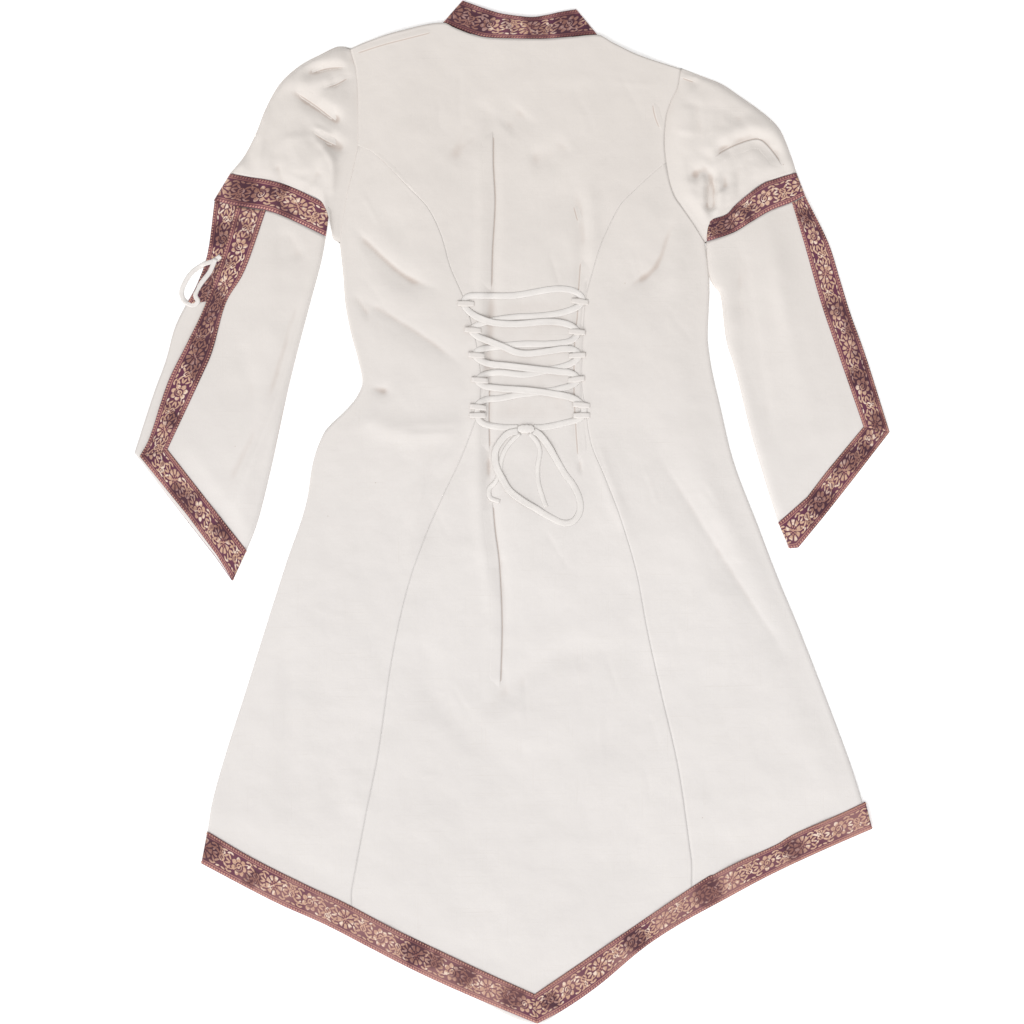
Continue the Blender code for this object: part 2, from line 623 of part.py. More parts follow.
def make_lower_sleeve(side, cut, cotton, brocade):
    """A lower sleeve: one cut folded at its inner edge, and the trims of its two layers."""
    rows, columns = 12, 5
    hem = {"outside": cut["edge_hem"], "inside": cut["edge_hem_inside"]}
    back = lower_half(cut, {"outside": cut["slit"], "inside": cut["slit_inside"]}, hem, rows, columns)
    under_hem = {"outside": cut["under_hem"], "inside": cut["edge_hem_inside"]}
    front = lower_half(
        cut, {"outside": cut["under_slit"], "inside": cut["slit_inside"]}, under_hem, rows, columns
    )
    count = columns + 2
    outer, inner, back_under, front_over = [], [], [], []
    for i in range(rows + 2):
        in_hem = i >= rows
        below, above, below_in, above_in = [], [], [], []
        for j in range(count):
            on_trim = in_hem or j <= 1
            base = TRIM + GAP if on_trim else 0.0
            p, q = front[i][j], back[i][j]
            if j == count - 1:
                p = q
            turn = (back[i][j - 1] - q).normalized() * CLOTH if j == count - 1 else Vector((0, 0))
            near_fold = blend(count - 1 - j, 0, 2)
            rise = max(0.0, 1.2 + fold_height(q.x, q.y, cut["lower_folds"])) * near_fold
            top_base = CLOTH + GAP + (TRIM + GAP) * (1.0 if in_hem else near_fold)
            rise = 0.0 if in_hem or j <= 1 else rise
            below.append(Vector((p.x, p.y, base)))
            below_in.append(Vector((p.x + turn.x, p.y + turn.y, base + CLOTH)))
            above.append(Vector((q.x, q.y, top_base + rise + CLOTH)))
            above_in.append(Vector((q.x + turn.x, q.y + turn.y, top_base + rise)))
        outer.append(below + above[::-1])
        inner.append(below_in + above_in[::-1])
        back_under.append([Vector((p.x, p.y, p.z + GAP)) for p in above])
        front_over.append([Vector((p.x, p.y, 0.0)) for p in below])
    cells_solid("sleeve_lower_" + side, outer, inner, all_cells(outer), cotton)
    strip = [(i, 0) for i in range(rows + 1)] + [(rows, j) for j in range(1, count - 1)]
    name = "sleeve_trim_" + side
    cells_solid(name + "_back", lifted(back_under, TRIM), back_under, strip, brocade)
    return cells_solid(name + "_front", lifted(front_over, TRIM), front_over, strip, brocade)


def smooth_route(route, spacing):
    """Points at even steps along a smooth curve through a route's own points."""
    points = [Vector(point) for point in route]
    points = [points[0] * 2 - points[1]] + points + [points[-1] * 2 - points[-2]]
    fine = []
    for a, b, c, d in zip(points, points[1:], points[2:], points[3:]):
        for k in range(8):
            t = k / 8
            fine.append(
                0.5 * (2 * b + (c - a) * t + (2 * a - 5 * b + 4 * c - d) * t ** 2
                       + (3 * b - a - 3 * c + d) * t ** 3)
            )
    fine.append(points[-2])
    length = sum((b.xy - a.xy).length for a, b in zip(fine, fine[1:]))
    count = round(length / spacing)
    out, travelled, target = [fine[0]], 0.0, length / count
    for a, b in zip(fine, fine[1:]):
        step = (b.xy - a.xy).length
        while travelled + step >= target - 1e-6 and len(out) < count:
            out.append(a.lerp(b, (target - travelled) / step))
            target += length / count
        travelled += step
    out.append(fine[-1])
    return out


def surface(pieces):
    """A function that gives the height of the highest of some pieces over a place."""
    trees = []
    for piece in pieces:
        mesh = piece.data
        trees.append(BVHTree.FromPolygons(
            [v.co.copy() for v in mesh.vertices], [tuple(p.vertices) for p in mesh.polygons]
        ))

    def height(x, y):
        best = 0.0
        for tree in trees:
            hit = tree.ray_cast(Vector((x * MM, y * MM, 0.1)), Vector((0, 0, -1)))[0]
            if hit is not None:
                best = max(best, hit.z / MM)
        return best

    return height


def make_tape(name, route, width, ground, finish, spacing=5.0, reach=1):
    """A flat tape along a route, on the cloth or over another strand."""
    points = smooth_route(route, spacing)
    edges = []
    for k, point in enumerate(points):
        ahead = (points[min(len(points) - 1, k + 1)].xy - points[max(0, k - 1)].xy).normalized()
        across = Vector((-ahead.y, ahead.x)) * (width / 2)
        edges.append((point.xy - across, point.xy + across))
    levels = []
    for k, (left, right) in enumerate(edges):
        next_left, next_right = edges[min(len(edges) - 1, k + 1)]
        corners = (left, right, (left + next_left) / 2, (right + next_right) / 2)
        places = corners + ((left + right) / 2, (left + right + next_left + next_right) / 4)
        levels.append(max(ground(p.x, p.y) for p in places))
    upper, lower = [], []
    for k, (point, edge) in enumerate(zip(points, edges)):
        level = max(levels[max(0, k - reach):k + reach + 1])
        z = level + TAPE_GAP + point.z * (TAPE + TAPE_GAP + 0.1)
        lower.append([Vector((p.x, p.y, z)) for p in edge])
        upper.append([Vector((p.x, p.y, z + TAPE)) for p in edge])
    return cells_solid(name, upper, lower, all_cells(lower), finish)


def make_loop(name, middle, cloth, laced, finish):
    """A loop: a short flat rouleau whose ends lie on the cloth and which bridges the lace."""
    x0, y0 = middle
    edges = [y0 - LOOP_WIDTH / 2, y0 + LOOP_WIDTH / 2]
    spots = [(x0 + LOOP_LENGTH * share / 10, y) for share in range(-5, 6) for y in edges + [y0]]
    foot = max(cloth(x, y) for x, y in spots) + GAP
    crown = max(laced(x, y) for x, y in spots) + GAP + 0.1
    upper, lower = [], []
    for share, rise in LOOP_PROFILE:
        x, z = x0 + LOOP_LENGTH * share, foot + (crown - foot) * rise
        lower.append([Vector((x, y, z)) for y in edges])
        upper.append([Vector((x, y, z + TAPE)) for y in edges])
    return cells_solid(name, upper, lower, all_cells(lower), finish)


def make_knot(ground, finish):
    """The knot of the lace: a small rounded lump of tape."""
    rings, around = 5, 10
    base = max(
        ground(KNOT["x"] + a * KNOT["length"] / 2, KNOT["y"] + b * KNOT["width"] / 2)
        for a in (-1, 0, 1) for b in (-1, 0, 1)
    ) + TAPE_GAP
    points, faces = [], []
    for i in range(1, rings):
        tilt = math.pi * i / rings
        for k in range(around):
            turn = 2 * math.pi * k / around
            points.append((
                KNOT["x"] - KNOT["length"] / 2 * math.cos(tilt),
                KNOT["y"] + KNOT["width"] / 2 * math.sin(tilt) * math.cos(turn),
                base + KNOT["height"] / 2 * (1 + math.sin(tilt) * math.sin(turn)),
            ))
    for i in range(rings - 2):
        for k in range(around):
            a, b = i * around + k, i * around + (k + 1) % around
            faces += [[a, b, b + around], [a, b + around, a + around]]
    middle = base + KNOT["height"] / 2
    points.append((KNOT["x"] - KNOT["length"] / 2, KNOT["y"], middle))
    points.append((KNOT["x"] + KNOT["length"] / 2, KNOT["y"], middle))
    last = (rings - 2) * around
    for k in range(around):
        faces.append([len(points) - 2, (k + 1) % around, k])
        faces.append([len(points) - 1, last + k, last + (k + 1) % around])
    return solid("lace_knot", points, faces, finish)


def make_lacing(panels, tape):
    """The loops on the princess seams, the lace through them, its knot, bow and free ends."""
    ground = surface(panels)
    lace = make_tape("lace", LACE_ROUTE, TAPE_WIDTH, ground, tape, spacing=6.0)
    laced = surface(panels + [lace])
    for side, middles in (("left", LEFT_LOOPS), ("right", RIGHT_LOOPS)):
        for number, middle in enumerate(middles, 1):
            make_loop("lacing_loop_%s_%d" % (side, number), middle, ground, laced, tape)
    make_knot(ground, tape)
    make_tape("lace_bow", BOW_ROUTE, TAPE_WIDTH, ground, tape)
    make_tape("lace_end_left", LEFT_END_ROUTE, TIE_WIDTH, ground, tape)
    make_tape("lace_end_right", RIGHT_END_ROUTE, TIE_WIDTH, ground, tape)


def main():
    """Clear the scene and make the gown."""
    for piece in list(bpy.data.objects):
        bpy.data.objects.remove(piece)
    cotton = material("cream cotton", (0.78, 0.75, 0.71), 0.9)
    brocade = material("burgundy brocade", (0.28, 0.12, 0.12), 0.5, 0.2)
    tape = material("cotton tape", (0.82, 0.79, 0.75), 0.85)
    make_front(cotton, brocade)
    panels = make_back(cotton, brocade)
    make_collar(brocade)
    for side, cut in SLEEVES.items():
        make_upper_sleeve(side, cut, cotton)
        make_arm_band(side, cut, brocade)
        make_lower_sleeve(side, cut, cotton, brocade)
    make_lacing(list(panels.values()), tape)
    sleeve = [bpy.data.objects[name] for name in ("sleeve_lower_left", "sleeve_trim_left_back")]
    make_tape("sleeve_tie_left", SLEEVE_TIE_ROUTE, TIE_WIDTH, surface(sleeve), tape, 3.5, 2)


main()
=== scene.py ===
"""Looks of a medieval gown that lies flat with its back up.

The cloth panels, sleeves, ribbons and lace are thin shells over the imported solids, worked out from
the same outlines and folds. Tables give millimetres, and MM turns them into metres.
"""
import math

import bpy
import numpy as np
from bpy.props import FloatProperty, FloatVectorProperty, PointerProperty
from bpy.types import Operator, Panel, PropertyGroup
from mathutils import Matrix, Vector, noise
from mathutils.bvhtree import BVHTree


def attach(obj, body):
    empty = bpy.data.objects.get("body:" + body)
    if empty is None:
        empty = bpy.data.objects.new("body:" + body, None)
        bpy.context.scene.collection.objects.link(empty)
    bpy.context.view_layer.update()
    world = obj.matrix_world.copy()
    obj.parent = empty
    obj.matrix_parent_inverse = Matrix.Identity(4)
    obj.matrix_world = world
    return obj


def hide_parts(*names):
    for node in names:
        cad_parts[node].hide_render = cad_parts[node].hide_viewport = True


bl_info = {
    "name": "Medieval gown",
    "version": (1, 0, 0),
    "blender": (4, 5, 0),
    "location": "View3D > Sidebar > Gown",
    "description": "Cotton panels, brocade ribbons and a laced back for a gown laid flat",
    "category": "Object",
}

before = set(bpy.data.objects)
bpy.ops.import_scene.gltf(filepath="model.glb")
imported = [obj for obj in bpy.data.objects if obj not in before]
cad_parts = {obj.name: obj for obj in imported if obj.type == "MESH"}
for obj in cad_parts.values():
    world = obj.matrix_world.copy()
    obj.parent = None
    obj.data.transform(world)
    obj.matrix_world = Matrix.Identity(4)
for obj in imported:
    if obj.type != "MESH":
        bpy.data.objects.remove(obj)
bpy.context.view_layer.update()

MM = 0.001
# Walls of the cloth's and the ribbon's solids, and the gap between layers.
CLOTH = 1.2
RIBBON = 1.0
GAP = 0.3
# Height of two layers of cloth with the gap between them.
LAYERS = 2 * CLOTH + GAP
# Walls of the cloth and of the tape as they show.
SHELL = 0.9
TAPE = 0.55
RIBBON_WIDTH = 34.0
# Steps of a ribbon's grid across it.
RIBBON_COLUMNS = 12
# How far off cloth is compared with, in grid points, where its hollows get painted shade.
HOLLOW_REACH = 4
# The share of a fold's length over which its ends fade.
FOLD_FADE = 0.22
# Distances between the sections of a tape and of a lapped fold.
TAPE_STEP = 2.0
LIP_STEP = 2.5
# A lapped fold keeps this height above the floor, and its own wall.
LIP_FLOOR = 0.3
LIP_WALL = 0.5
# How far in from a ribbon's edge its raised rungs lie, as a share of its width.
RUNG_INSET = 0.055
# Where the sleeves leave the body.
UNDERARM = 309
# What the photo shows across, and the camera's sensor, both in millimetres.
VIEW_WIDTH = 1177.6
SENSOR_WIDTH = 36.0
# The lamp and the floor, in metres.
KEY_PLACE = (-1.0, -2.4, 2.2)
FLOOR_REACH = 6.0
FLOOR_DROP = 0.0004

# Edges that run down the gown: rows of (y, x).
LEFT_EDGE = [
    (533, -186), (505, -179), (473, -177), (421, -177), (393, -183), (358, -191), (309, -198),
    (271, -194), (243, -192), (209, -186), (175, -177), (149, -172), (133, -178), (119, -189),
    (91, -216), (56, -229), (13, -236), (-60, -260), (-129, -282), (-212, -308), (-281, -330),
    (-336, -345), (-367, -350), (-405, -356),
]
RIGHT_EDGE = [
    (510, 194), (490, 191), (473, 183), (453, 177), (425, 175), (402, 177), (380, 181), (363, 187),
    (351, 195), (329, 210), (309, 222), (257, 227), (202, 225), (174, 228), (119, 240), (64, 253),
    (-19, 284), (-74, 305), (-129, 328), (-185, 350), (-240, 371), (-295, 391), (-363, 412),
]
LEFT_PRINCESS = [
    (421, -177), (415, -163), (402, -147), (374, -120), (349, -96), (318, -81), (283, -71),
    (243, -54), (209, -44), (180, -38), (151, -35), (121, -37), (99, -44), (65, -57), (25, -76),
    (-27, -99), (-88, -120), (-171, -138), (-275, -153), (-350, -168), (-435, -184),
]
RIGHT_PRINCESS = [
    (402, 177), (387, 159), (373, 144), (354, 125), (332, 113), (310, 103), (278, 93), (241, 84),
    (209, 82), (151, 80), (121, 84), (82, 90), (42, 106), (-5, 124), (-73, 144), (-133, 155),
    (-201, 170), (-298, 192), (-403, 207),
]

# Edges that run across the gown: rows of (x, y).
SHOULDER_LEFT = [(-186, 533), (-170, 540), (-131, 553), (-79, 563)]
SHOULDER_RIGHT = [(98, 549), (116, 540), (145, 526), (194, 510)]
BACK_NECK = [(-79, 563), (-66, 557), (-41, 548), (-23, 545), (12, 544), (38, 544), (65, 546), (98, 549)]
FRONT_NECK = [
    (-79, 563), (-64, 512), (-42, 474), (-15, 457), (12, 451), (40, 456), (66, 470), (87, 502), (98, 549),
]
COLLAR_TOP = [(-57, 588), (-23, 576), (-6, 572), (21, 569), (38, 571), (56, 575), (74, 578)]
COLLAR_FRONT_TOP = [
    (-57, 588), (-42, 535), (-24, 500), (-5, 486), (12, 482), (32, 486), (50, 500), (66, 535), (74, 578),
]
HEM = [
    (-357, -404), (-275, -447), (-215, -474), (-161, -502), (-106, -530), (-46, -557), (29, -588),
    (61, -571), (101, -543), (150, -502), (192, -474), (241, -447), (293, -419), (350, -392),
    (414, -364),
]
HEM_TRIM_TOP = [
    (-350, -367), (-299, -397), (-233, -430), (-192, -449), (-139, -477), (-85, -503), (-32, -528),
    (26, -554), (205, -432), (233, -416), (260, -402), (302, -383), (326, -369), (372, -349),
    (406, -333),
]

# Folds of the back: (points, half width, height), height below 0 for a trough.
BACK_FOLDS = [
    ([(-184, 326), (-145, 288), (-121, 268), (-94, 257)], 13, -2.5),
    ([(-198, 330), (-160, 305), (-120, 292)], 16, 2.0),
    ([(-187, 251), (-162, 222)], 9, -1.6),
    ([(-179, 247), (-108, 205), (-55, 167)], 14, -1.8),
    ([(-190, 112), (-120, 92), (-48, 99)], 12, 2.2),
    ([(-176, 146), (-140, 138)], 8, -2.2),
    ([(190, 349), (178, 317), (163, 281), (135, 259)], 13, -2.4),
    ([(205, 330), (196, 290), (175, 255)], 14, 1.8),
    ([(-75, 401), (-53, 431), (-20, 470)], 16, -2.2),
    ([(-9, 439), (15, 464)], 14, -2.0),
    ([(17, 403), (47, 412), (67, 426)], 14, -2.0),
    ([(-23, 455), (-20, 344), (-24, 227), (-28, 151), (-25, 17), (-10, -102), (-14, -205)], 7, -2.2),
    ([(-36, 455), (-33, 344), (-37, 227), (-39, 17), (-24, -102), (-28, -205)], 8, 1.8),
    ([(70, 381), (80, 330), (80, 277), (74, 150), (77, 58)], 7, -2.0),
    ([(88, 381), (94, 330), (92, 277)], 8, 1.5),
    ([(170, 63), (245, -58), (313, -163), (331, -205)], 16, -1.8),
    ([(205, 63), (275, -58), (335, -150)], 16, 1.6),
    ([(-100, -136), (-94, -194), (-71, -234), (-25, -274)], 18, -1.6),
    ([(153, -159), (147, -205), (124, -251), (67, -280)], 18, -1.6),
    ([(-37, -240), (-14, -217), (32, -177), (55, -165), (124, -157)], 16, -1.8),
    ([(-258, -159), (-255, -205), (-261, -309)], 16, -1.5),
    ([(-183, -292), (-181, -349)], 14, 1.4),
    ([(-71, 78), (-100, 33), (-120, -25)], 9, 2.0),
    ([(-52, 74), (-82, 20), (-100, -40)], 8, -1.8),
    ([(96, 78), (112, 30), (135, -30)], 9, 1.8),
    ([(0, 60), (8, -40), (14, -130)], 22, 1.8),
    ([(-120, 460), (-110, 330)], 30, 1.2),
    ([(120, 470), (110, 330)], 30, 1.2),
]
LEFT_CAP_FOLDS = [
    ([(-244, 503), (-184, 512)], 8, -2.6),
    ([(-225, 517), (-188, 522)], 7, 2.2),
    ([(-209, 490), (-184, 500)], 8, -2.4),
    ([(-250, 490), (-205, 500)], 9, 2.4),
    ([(-244, 479), (-215, 462), (-192, 444)], 10, -4.0),
    ([(-225, 476), (-195, 462)], 10, 2.5),
    ([(-215, 430), (-190, 416)], 10, -4.0),
    ([(-222, 420), (-205, 380), (-200, 360)], 12, 3.0),
    ([(-288, 470), (-290, 390)], 9, 2.4),
    ([(-303, 430), (-303, 390)], 6, -2.0),
    ([(-250, 440), (-240, 385)], 16, 3.0),
]
RIGHT_CAP_FOLDS = [
    ([(197, 502), (216, 490)], 9, -2.4),
    ([(205, 470), (200, 430)], 14, 2.2),
    ([(233, 403), (246, 415), (273, 425), (292, 419), (313, 395)], 9, -4.0),
    ([(235, 420), (273, 440), (300, 428)], 12, 3.2),
    ([(205, 385), (222, 388), (240, 380)], 9, -3.0),
    ([(228, 380), (229, 345)], 7, -4.5),
    ([(240, 372), (252, 352)], 9, 3.0),
    ([(258, 455), (225, 405)], 14, 2.4),
]
LEFT_LOWER_FOLDS = [
    ([(-272, 150), (-300, 60), (-318, -20)], 12, 2.2),
    ([(-262, 330), (-262, 250)], 12, -1.6),
    ([(-250, 300), (-285, 180)], 14, 1.4),
]
RIGHT_LOWER_FOLDS = [
    ([(262, 310), (270, 200), (290, 90)], 12, -1.6),
    ([(300, 320), (320, 200), (345, 100)], 14, 1.8),
    ([(240, 290), (256, 200)], 12, 1.4),
]

# Outlines of the sleeves, as they lie: lists of (x, y).
SLEEVES = {
    "left": {
        "cap": [(-187, 533), (-200, 535), (-218, 527), (-244, 513), (-267, 492), (-283, 464),
                (-294, 436), (-308, 409), (-324, 389)],
        "armhole": [(-187, 533), (-180, 505), (-178, 473), (-178, 421), (-184, 393), (-192, 358),
                    (-199, 309)],
        "underarm": [(-199, 309), (-207, 318), (-206, 353)],
        "band_top": [(-324, 389), (-302, 385), (-283, 382), (-263, 377), (-243, 369), (-209, 352)],
        "band_end": [(-209, 352), (-214, 317)],
        "band_bottom": [(-343, 358), (-316, 352), (-283, 347), (-263, 340), (-243, 331), (-214, 317)],
        "slit": [(-317, 351), (-332, 297), (-353, 237), (-375, 191), (-396, 148), (-416, 87), (-428, 64)],
        "slit_inside": [(-283, 346), (-307, 278), (-329, 240), (-344, 186), (-359, 151), (-396, 72)],
        "edge_hem": [(-428, 64), (-373, -4), (-339, -50), (-321, -79)],
        "edge_hem_inside": [(-396, 72), (-339, -1), (-305, -44)],
        "fold": [(-214, 316), (-220, 285), (-235, 229), (-256, 147), (-277, 50), (-292, -10),
                 (-305, -44)],
        "under_slit": [(-342, 357), (-350, 297), (-362, 262), (-386, 216), (-398, 174), (-413, 133),
                       (-434, 68)],
        "under_hem": [(-434, 68), (-377, -6), (-341, -52), (-322, -79)],
        "folds": LEFT_CAP_FOLDS,
        "lower_folds": LEFT_LOWER_FOLDS,
    },
    "right": {
        "cap": [(195, 510), (216, 502), (241, 492), (262, 478), (282, 464), (299, 450), (310, 436),
                (321, 409), (327, 390)],
        "armhole": [(195, 510), (192, 490), (184, 473), (178, 453), (176, 425), (178, 402),
                    (182, 380), (188, 363), (196, 351), (211, 329), (223, 309)],
        "underarm": [(223, 309), (224.5, 314), (224, 336)],
        "band_top": [(327, 390), (306, 384), (286, 376), (258, 354), (246, 342), (225, 335)],
        "band_end": [(225, 335), (224, 311)],
        "band_bottom": [(337, 364), (321, 356), (298, 347), (274, 333), (254, 321), (224, 311)],
        "slit": [(337, 363), (363, 311), (377, 267), (389, 228), (407, 178), (434, 92)],
        "slit_inside": [(322, 355), (337, 305), (355, 241), (375, 182), (404, 98)],
        "edge_hem": [(434, 92), (394, 40), (361, -2), (329, -41), (319, -42)],
        "edge_hem_inside": [(404, 98), (361, 46), (339, 17), (306, -12)],
        "fold": [(223, 310), (223.8, 290), (226.2, 272), (231.5, 260), (240, 247),
                 (246, 198), (258, 158), (277, 82), (306, -12)],
        "under_slit": [(334, 361), (360, 311), (374, 267), (386, 228), (404, 178), (430, 94)],
        "under_hem": [(430, 94), (390, 42), (357, 0), (326, -38), (318, -41)],
        "folds": RIGHT_CAP_FOLDS,
        "lower_folds": RIGHT_LOWER_FOLDS,
    },
}

# Where ripples turn the ribbon from the light: (x, y, reach).
SATIN_SHADOWS = [
    (-112, -504, 20), (-89, -515, 14), (-55, -532, 17), (1, -558, 19), (44, -562, 13),
    (142, -491, 20), (226, -436, 24), (324, -387, 18), (-346, -388, 19), (-298, -423, 13),
    (-308, 368, 26), (-58, 572, 19), (63, 560, 24), (242, 328, 22), (-361, 194, 15),
    (-390, 106, 14), (-331, -19, 17), (-338, 318, 18), (421, 105, 15),
]

# Lacing loops: the middle of each, rows of (x, y).
LEFT_LOOPS = [(-53, 239.5), (-45, 209), (-41, 180), (-37, 151.5), (-39, 120.5), (-39.5, 111)]
RIGHT_LOOPS = [(78, 242), (74.5, 207), (75, 180), (74, 152.5), (80, 123), (80, 111)]
LOOP_LENGTH = 19.0
LOOP_WIDTH = 7.0

# Routes of the tape: rows of (x, y, over), over being 1 where it lies on another strand.
LACE_ROUTE = [
    (7, 97, 0), (-8, 97, 0), (-24, 99, 0), (-35, 103, 0), (-39.5, 110.5, 0), (-39.5, 118, 0),
    (-37.5, 125, 0), (-28, 129.5, 0), (-14, 130.5, 0), (9, 135, 0), (39, 138.5, 0),
    (55, 141.5, 0), (69, 146, 0), (75.5, 152.5, 0),
    (68, 159.5, 0.5), (52, 161.5, 1), (20, 165, 1), (-5, 168, 1), (-24, 170, 1), (-36, 174, 0.4),
    (-42.5, 180.5, 0), (-35, 187, 0), (-8, 191, 0), (15, 193, 0), (43, 193, 0), (66, 196, 0),
    (75.5, 205.5, 0), (68, 214, 0.5), (53, 218, 1), (35, 218.5, 1), (5, 216, 1), (-21, 217.5, 1),
    (-39, 223.5, 1), (-51, 232, 0.3), (-55, 240, 0), (-49, 248, 0), (-23, 248.5, 0), (5, 249, 0),
    (43, 255.5, 0), (62, 256, 0), (75, 252, 0), (81, 243, 0), (73, 234.5, 0), (53, 228, 0),
    (28, 225, 0), (5, 224, 0), (-18, 221, 0), (-36, 216.5, 0), (-46.5, 209.5, 0), (-40, 202, 0.3),
    (-27, 196.5, 1), (-8, 189, 1), (5, 183.5, 1), (20, 182, 1), (43, 185, 1), (60, 187.5, 1),
    (71, 186.5, 0.3), (77, 180, 0), (71, 172.5, 0), (60, 167.5, 0), (43, 163.5, 0), (15, 158, 0),
    (-14, 160.5, 0), (-31, 158, 0), (-39, 151.5, 0), (-32, 145, 0.3), (-14, 142, 1), (15, 140, 1),
    (43, 136.5, 1), (68, 131.5, 1), (80, 124, 0), (82.5, 116, 0), (78, 107.5, 0), (60, 102, 0),
    (38, 97.5, 0), (25, 97, 0),
]
BOW_ROUTE = [
    (7, 93, 1), (-4.5, 90, 1), (-14, 80, 1), (-19.5, 68, 1), (-18, 52.5, 1), (-11, 38, 1),
    (-3, 25, 1), (11, 13.5, 1), (28, 3.5, 0.6), (43, -5.5, 0), (58, -12.5, 0), (70.5, -10.5, 0),
    (78, 1, 0), (77.5, 14.5, 0), (71, 30, 0), (60, 45, 0), (50.5, 61, 0.4), (42, 75.5, 1),
    (33, 87.5, 1), (25, 93.5, 1),
]
LEFT_END_ROUTE = [
    (9, 90.5, 0), (2, 84, 0), (-7, 73, 0), (-12.5, 59, 0), (-14, 47, 0), (-19, 35, 0), (-26, 27, 0),
    (-25, 16.5, 0), (-14, 12, 0),
]
RIGHT_END_ROUTE = [
    (20, 90.5, 0), (26, 84.5, 0), (30.5, 77, 0), (32, 67, 0), (29.5, 52.5, 0), (30, 35, 0),
    (35, 17, 0), (39, 6, 0),
]
SLEEVE_TIE_ROUTE = [
    (-335, 294, 0), (-344, 288, 0), (-354, 285, 0), (-368, 275.5, 0), (-377, 262, 0), (-380, 251, 0),
    (-376, 242, 0), (-367, 237.5, 0), (-361, 242, 0), (-364, 250, 0), (-358, 262, 0), (-348, 275, 0),
    (-344, 283, 0.6), (-341, 291, 1),
]
TAPE_WIDTH = 7.8
TIE_WIDTH = 5.6
KNOT = {"x": 16.0, "y": 95.5, "length": 19.0, "width": 9.5, "height": 1.9}

FRONT_NECK_GAP = 2.5
FRONT_NECK_WIDER = 1.07
NECK_MIDDLE = 10

# Narrow creases and tucks, laid over the folds: (points, half width, height).
BACK_CREASES = [
    ([(-60, 512), (-60, 451)], 2.6, -0.5),
    ([(-84, 472), (-84, 439)], 2.6, -0.5),
    ([(183, 332), (166, 282), (133, 258)], 3.4, -1.2),
    ([(-185, 328), (-128, 274), (-87, 256)], 3.4, -1.3),
    ([(-184, 251), (-164, 224)], 2.8, -1.2),
    ([(-174, 146), (-142, 137)], 2.8, -1.4),
    ([(-176, 246), (-108, 205), (-62, 172)], 3.6, -0.9),
    ([(78, 60), (79, 44)], 3.0, -1.2),
    ([(-27, 62), (-27, 40)], 3.0, -1.2),
    ([(170, 63), (245, -58), (313, -163)], 3.6, -0.8),
    ([(-120, 95), (-60, 96)], 3.0, -0.8),
    ([(-71, 78), (-92, 44), (-104, 10)], 2.8, -0.9),
    ([(96, 78), (108, 40), (122, 4)], 2.8, -0.9),
]
LEFT_CAP_CREASES = [
    ([(-231, 505), (-213, 511), (-191, 512)], 2.6, -2.2),
    ([(-218, 488), (-202, 493), (-184, 503)], 2.6, -2.2),
    ([(-250, 482), (-225, 466), (-200, 448)], 4.0, -1.6),
    ([(-227, 436), (-202, 423)], 4.2, -2.6),
    ([(-230, 444), (-204, 431)], 3.0, 1.6),
    ([(-227, 431), (-206, 402), (-206, 357)], 4.0, 1.8),
    ([(-292, 434), (-295, 385)], 4.6, -1.2),
    ([(-283, 434), (-286, 388)], 4.6, -0.9),
    ([(-271, 400), (-264, 378)], 4.6, -1.2),
    ([(-219, 394), (-240, 369)], 4.6, -1.3),
    ([(-200, 350), (-197, 330), (-192, 312)], 3.0, -1.6),
]
RIGHT_CAP_CREASES = [
    ([(195, 500), (213, 494)], 2.6, -1.6),
    ([(228, 411), (246, 423), (270, 433), (287, 433), (303, 419)], 7.0, -2.4),
    ([(226, 392), (240, 405), (252, 410)], 6.0, 1.6),
    ([(199, 386), (214, 390), (226, 399)], 7.0, -1.5),
    ([(199, 376), (212, 380), (223, 388)], 6.0, 1.1),
    ([(219, 392), (220, 372), (219, 352)], 5.0, 1.5),
    ([(227, 386), (229, 368), (226, 342)], 4.6, -2.2),
    ([(234, 398), (237, 370), (236, 330)], 5.0, 1.5),
    ([(244, 390), (246, 352)], 5.0, -1.2),
    ([(252, 392), (256, 360)], 5.0, 0.9),
    ([(212, 470), (214, 430)], 6.0, -1.0),
    ([(262, 400), (258, 372)], 5.0, -1.0),
    ([(234, 464), (228, 430)], 3.4, 0.8),
]

# Pressed folds and tucks that lap over the cloth beside them: (points, width, rise, side), the
# side being 1 where the raised cloth lies left of the line as its points run.
BACK_LIPS = [
    ([(-22, 442), (-22, 400), (-20, 355), (-23, 300), (-24, 250)], 16, 1.2, -1),
    ([(-26, 158), (-27, 110), (-26, 64)], 12, 1.2, -1),
    ([(-23, 17), (-20, -20), (-15, -60), (-12, -130), (-14, -206)], 16, 1.3, -1),
    ([(80, 296), (77, 249), (76, 226), (73, 200), (72, 142), (74, 100), (77, 56)], 12, 1.2, 1),
    ([(-187, 525), (-150, 537), (-115, 546), (-84, 554)], 7, 0.5, 1),
    ([(161, 478), (165, 455), (174, 433)], 8, 0.6, 1),
    ([(-163, 418), (-135, 390), (-105, 354), (-86, 322)], 6, 0.35, 1),
    ([(70, 357), (78, 328)], 7, 0.5, 1),
]
LEFT_CAP_LIPS = [
    ([(-234, 503), (-213, 510), (-187, 512)], 11, 1.2, 1),
    ([(-221, 486), (-202, 492), (-182, 504)], 10, 1.1, 1),
    ([(-231, 438), (-216, 428), (-199, 420)], 11, 1.3, 1),
    ([(-252, 485), (-226, 468), (-199, 447)], 12, 0.8, 1),
]
RIGHT_CAP_LIPS = [
    ([(191, 501), (214, 493)], 9, 0.8, 1),
    ([(228, 404), (246, 416), (270, 426), (286, 427), (301, 412), (313, 393)], 14, 0.9, -1),
]

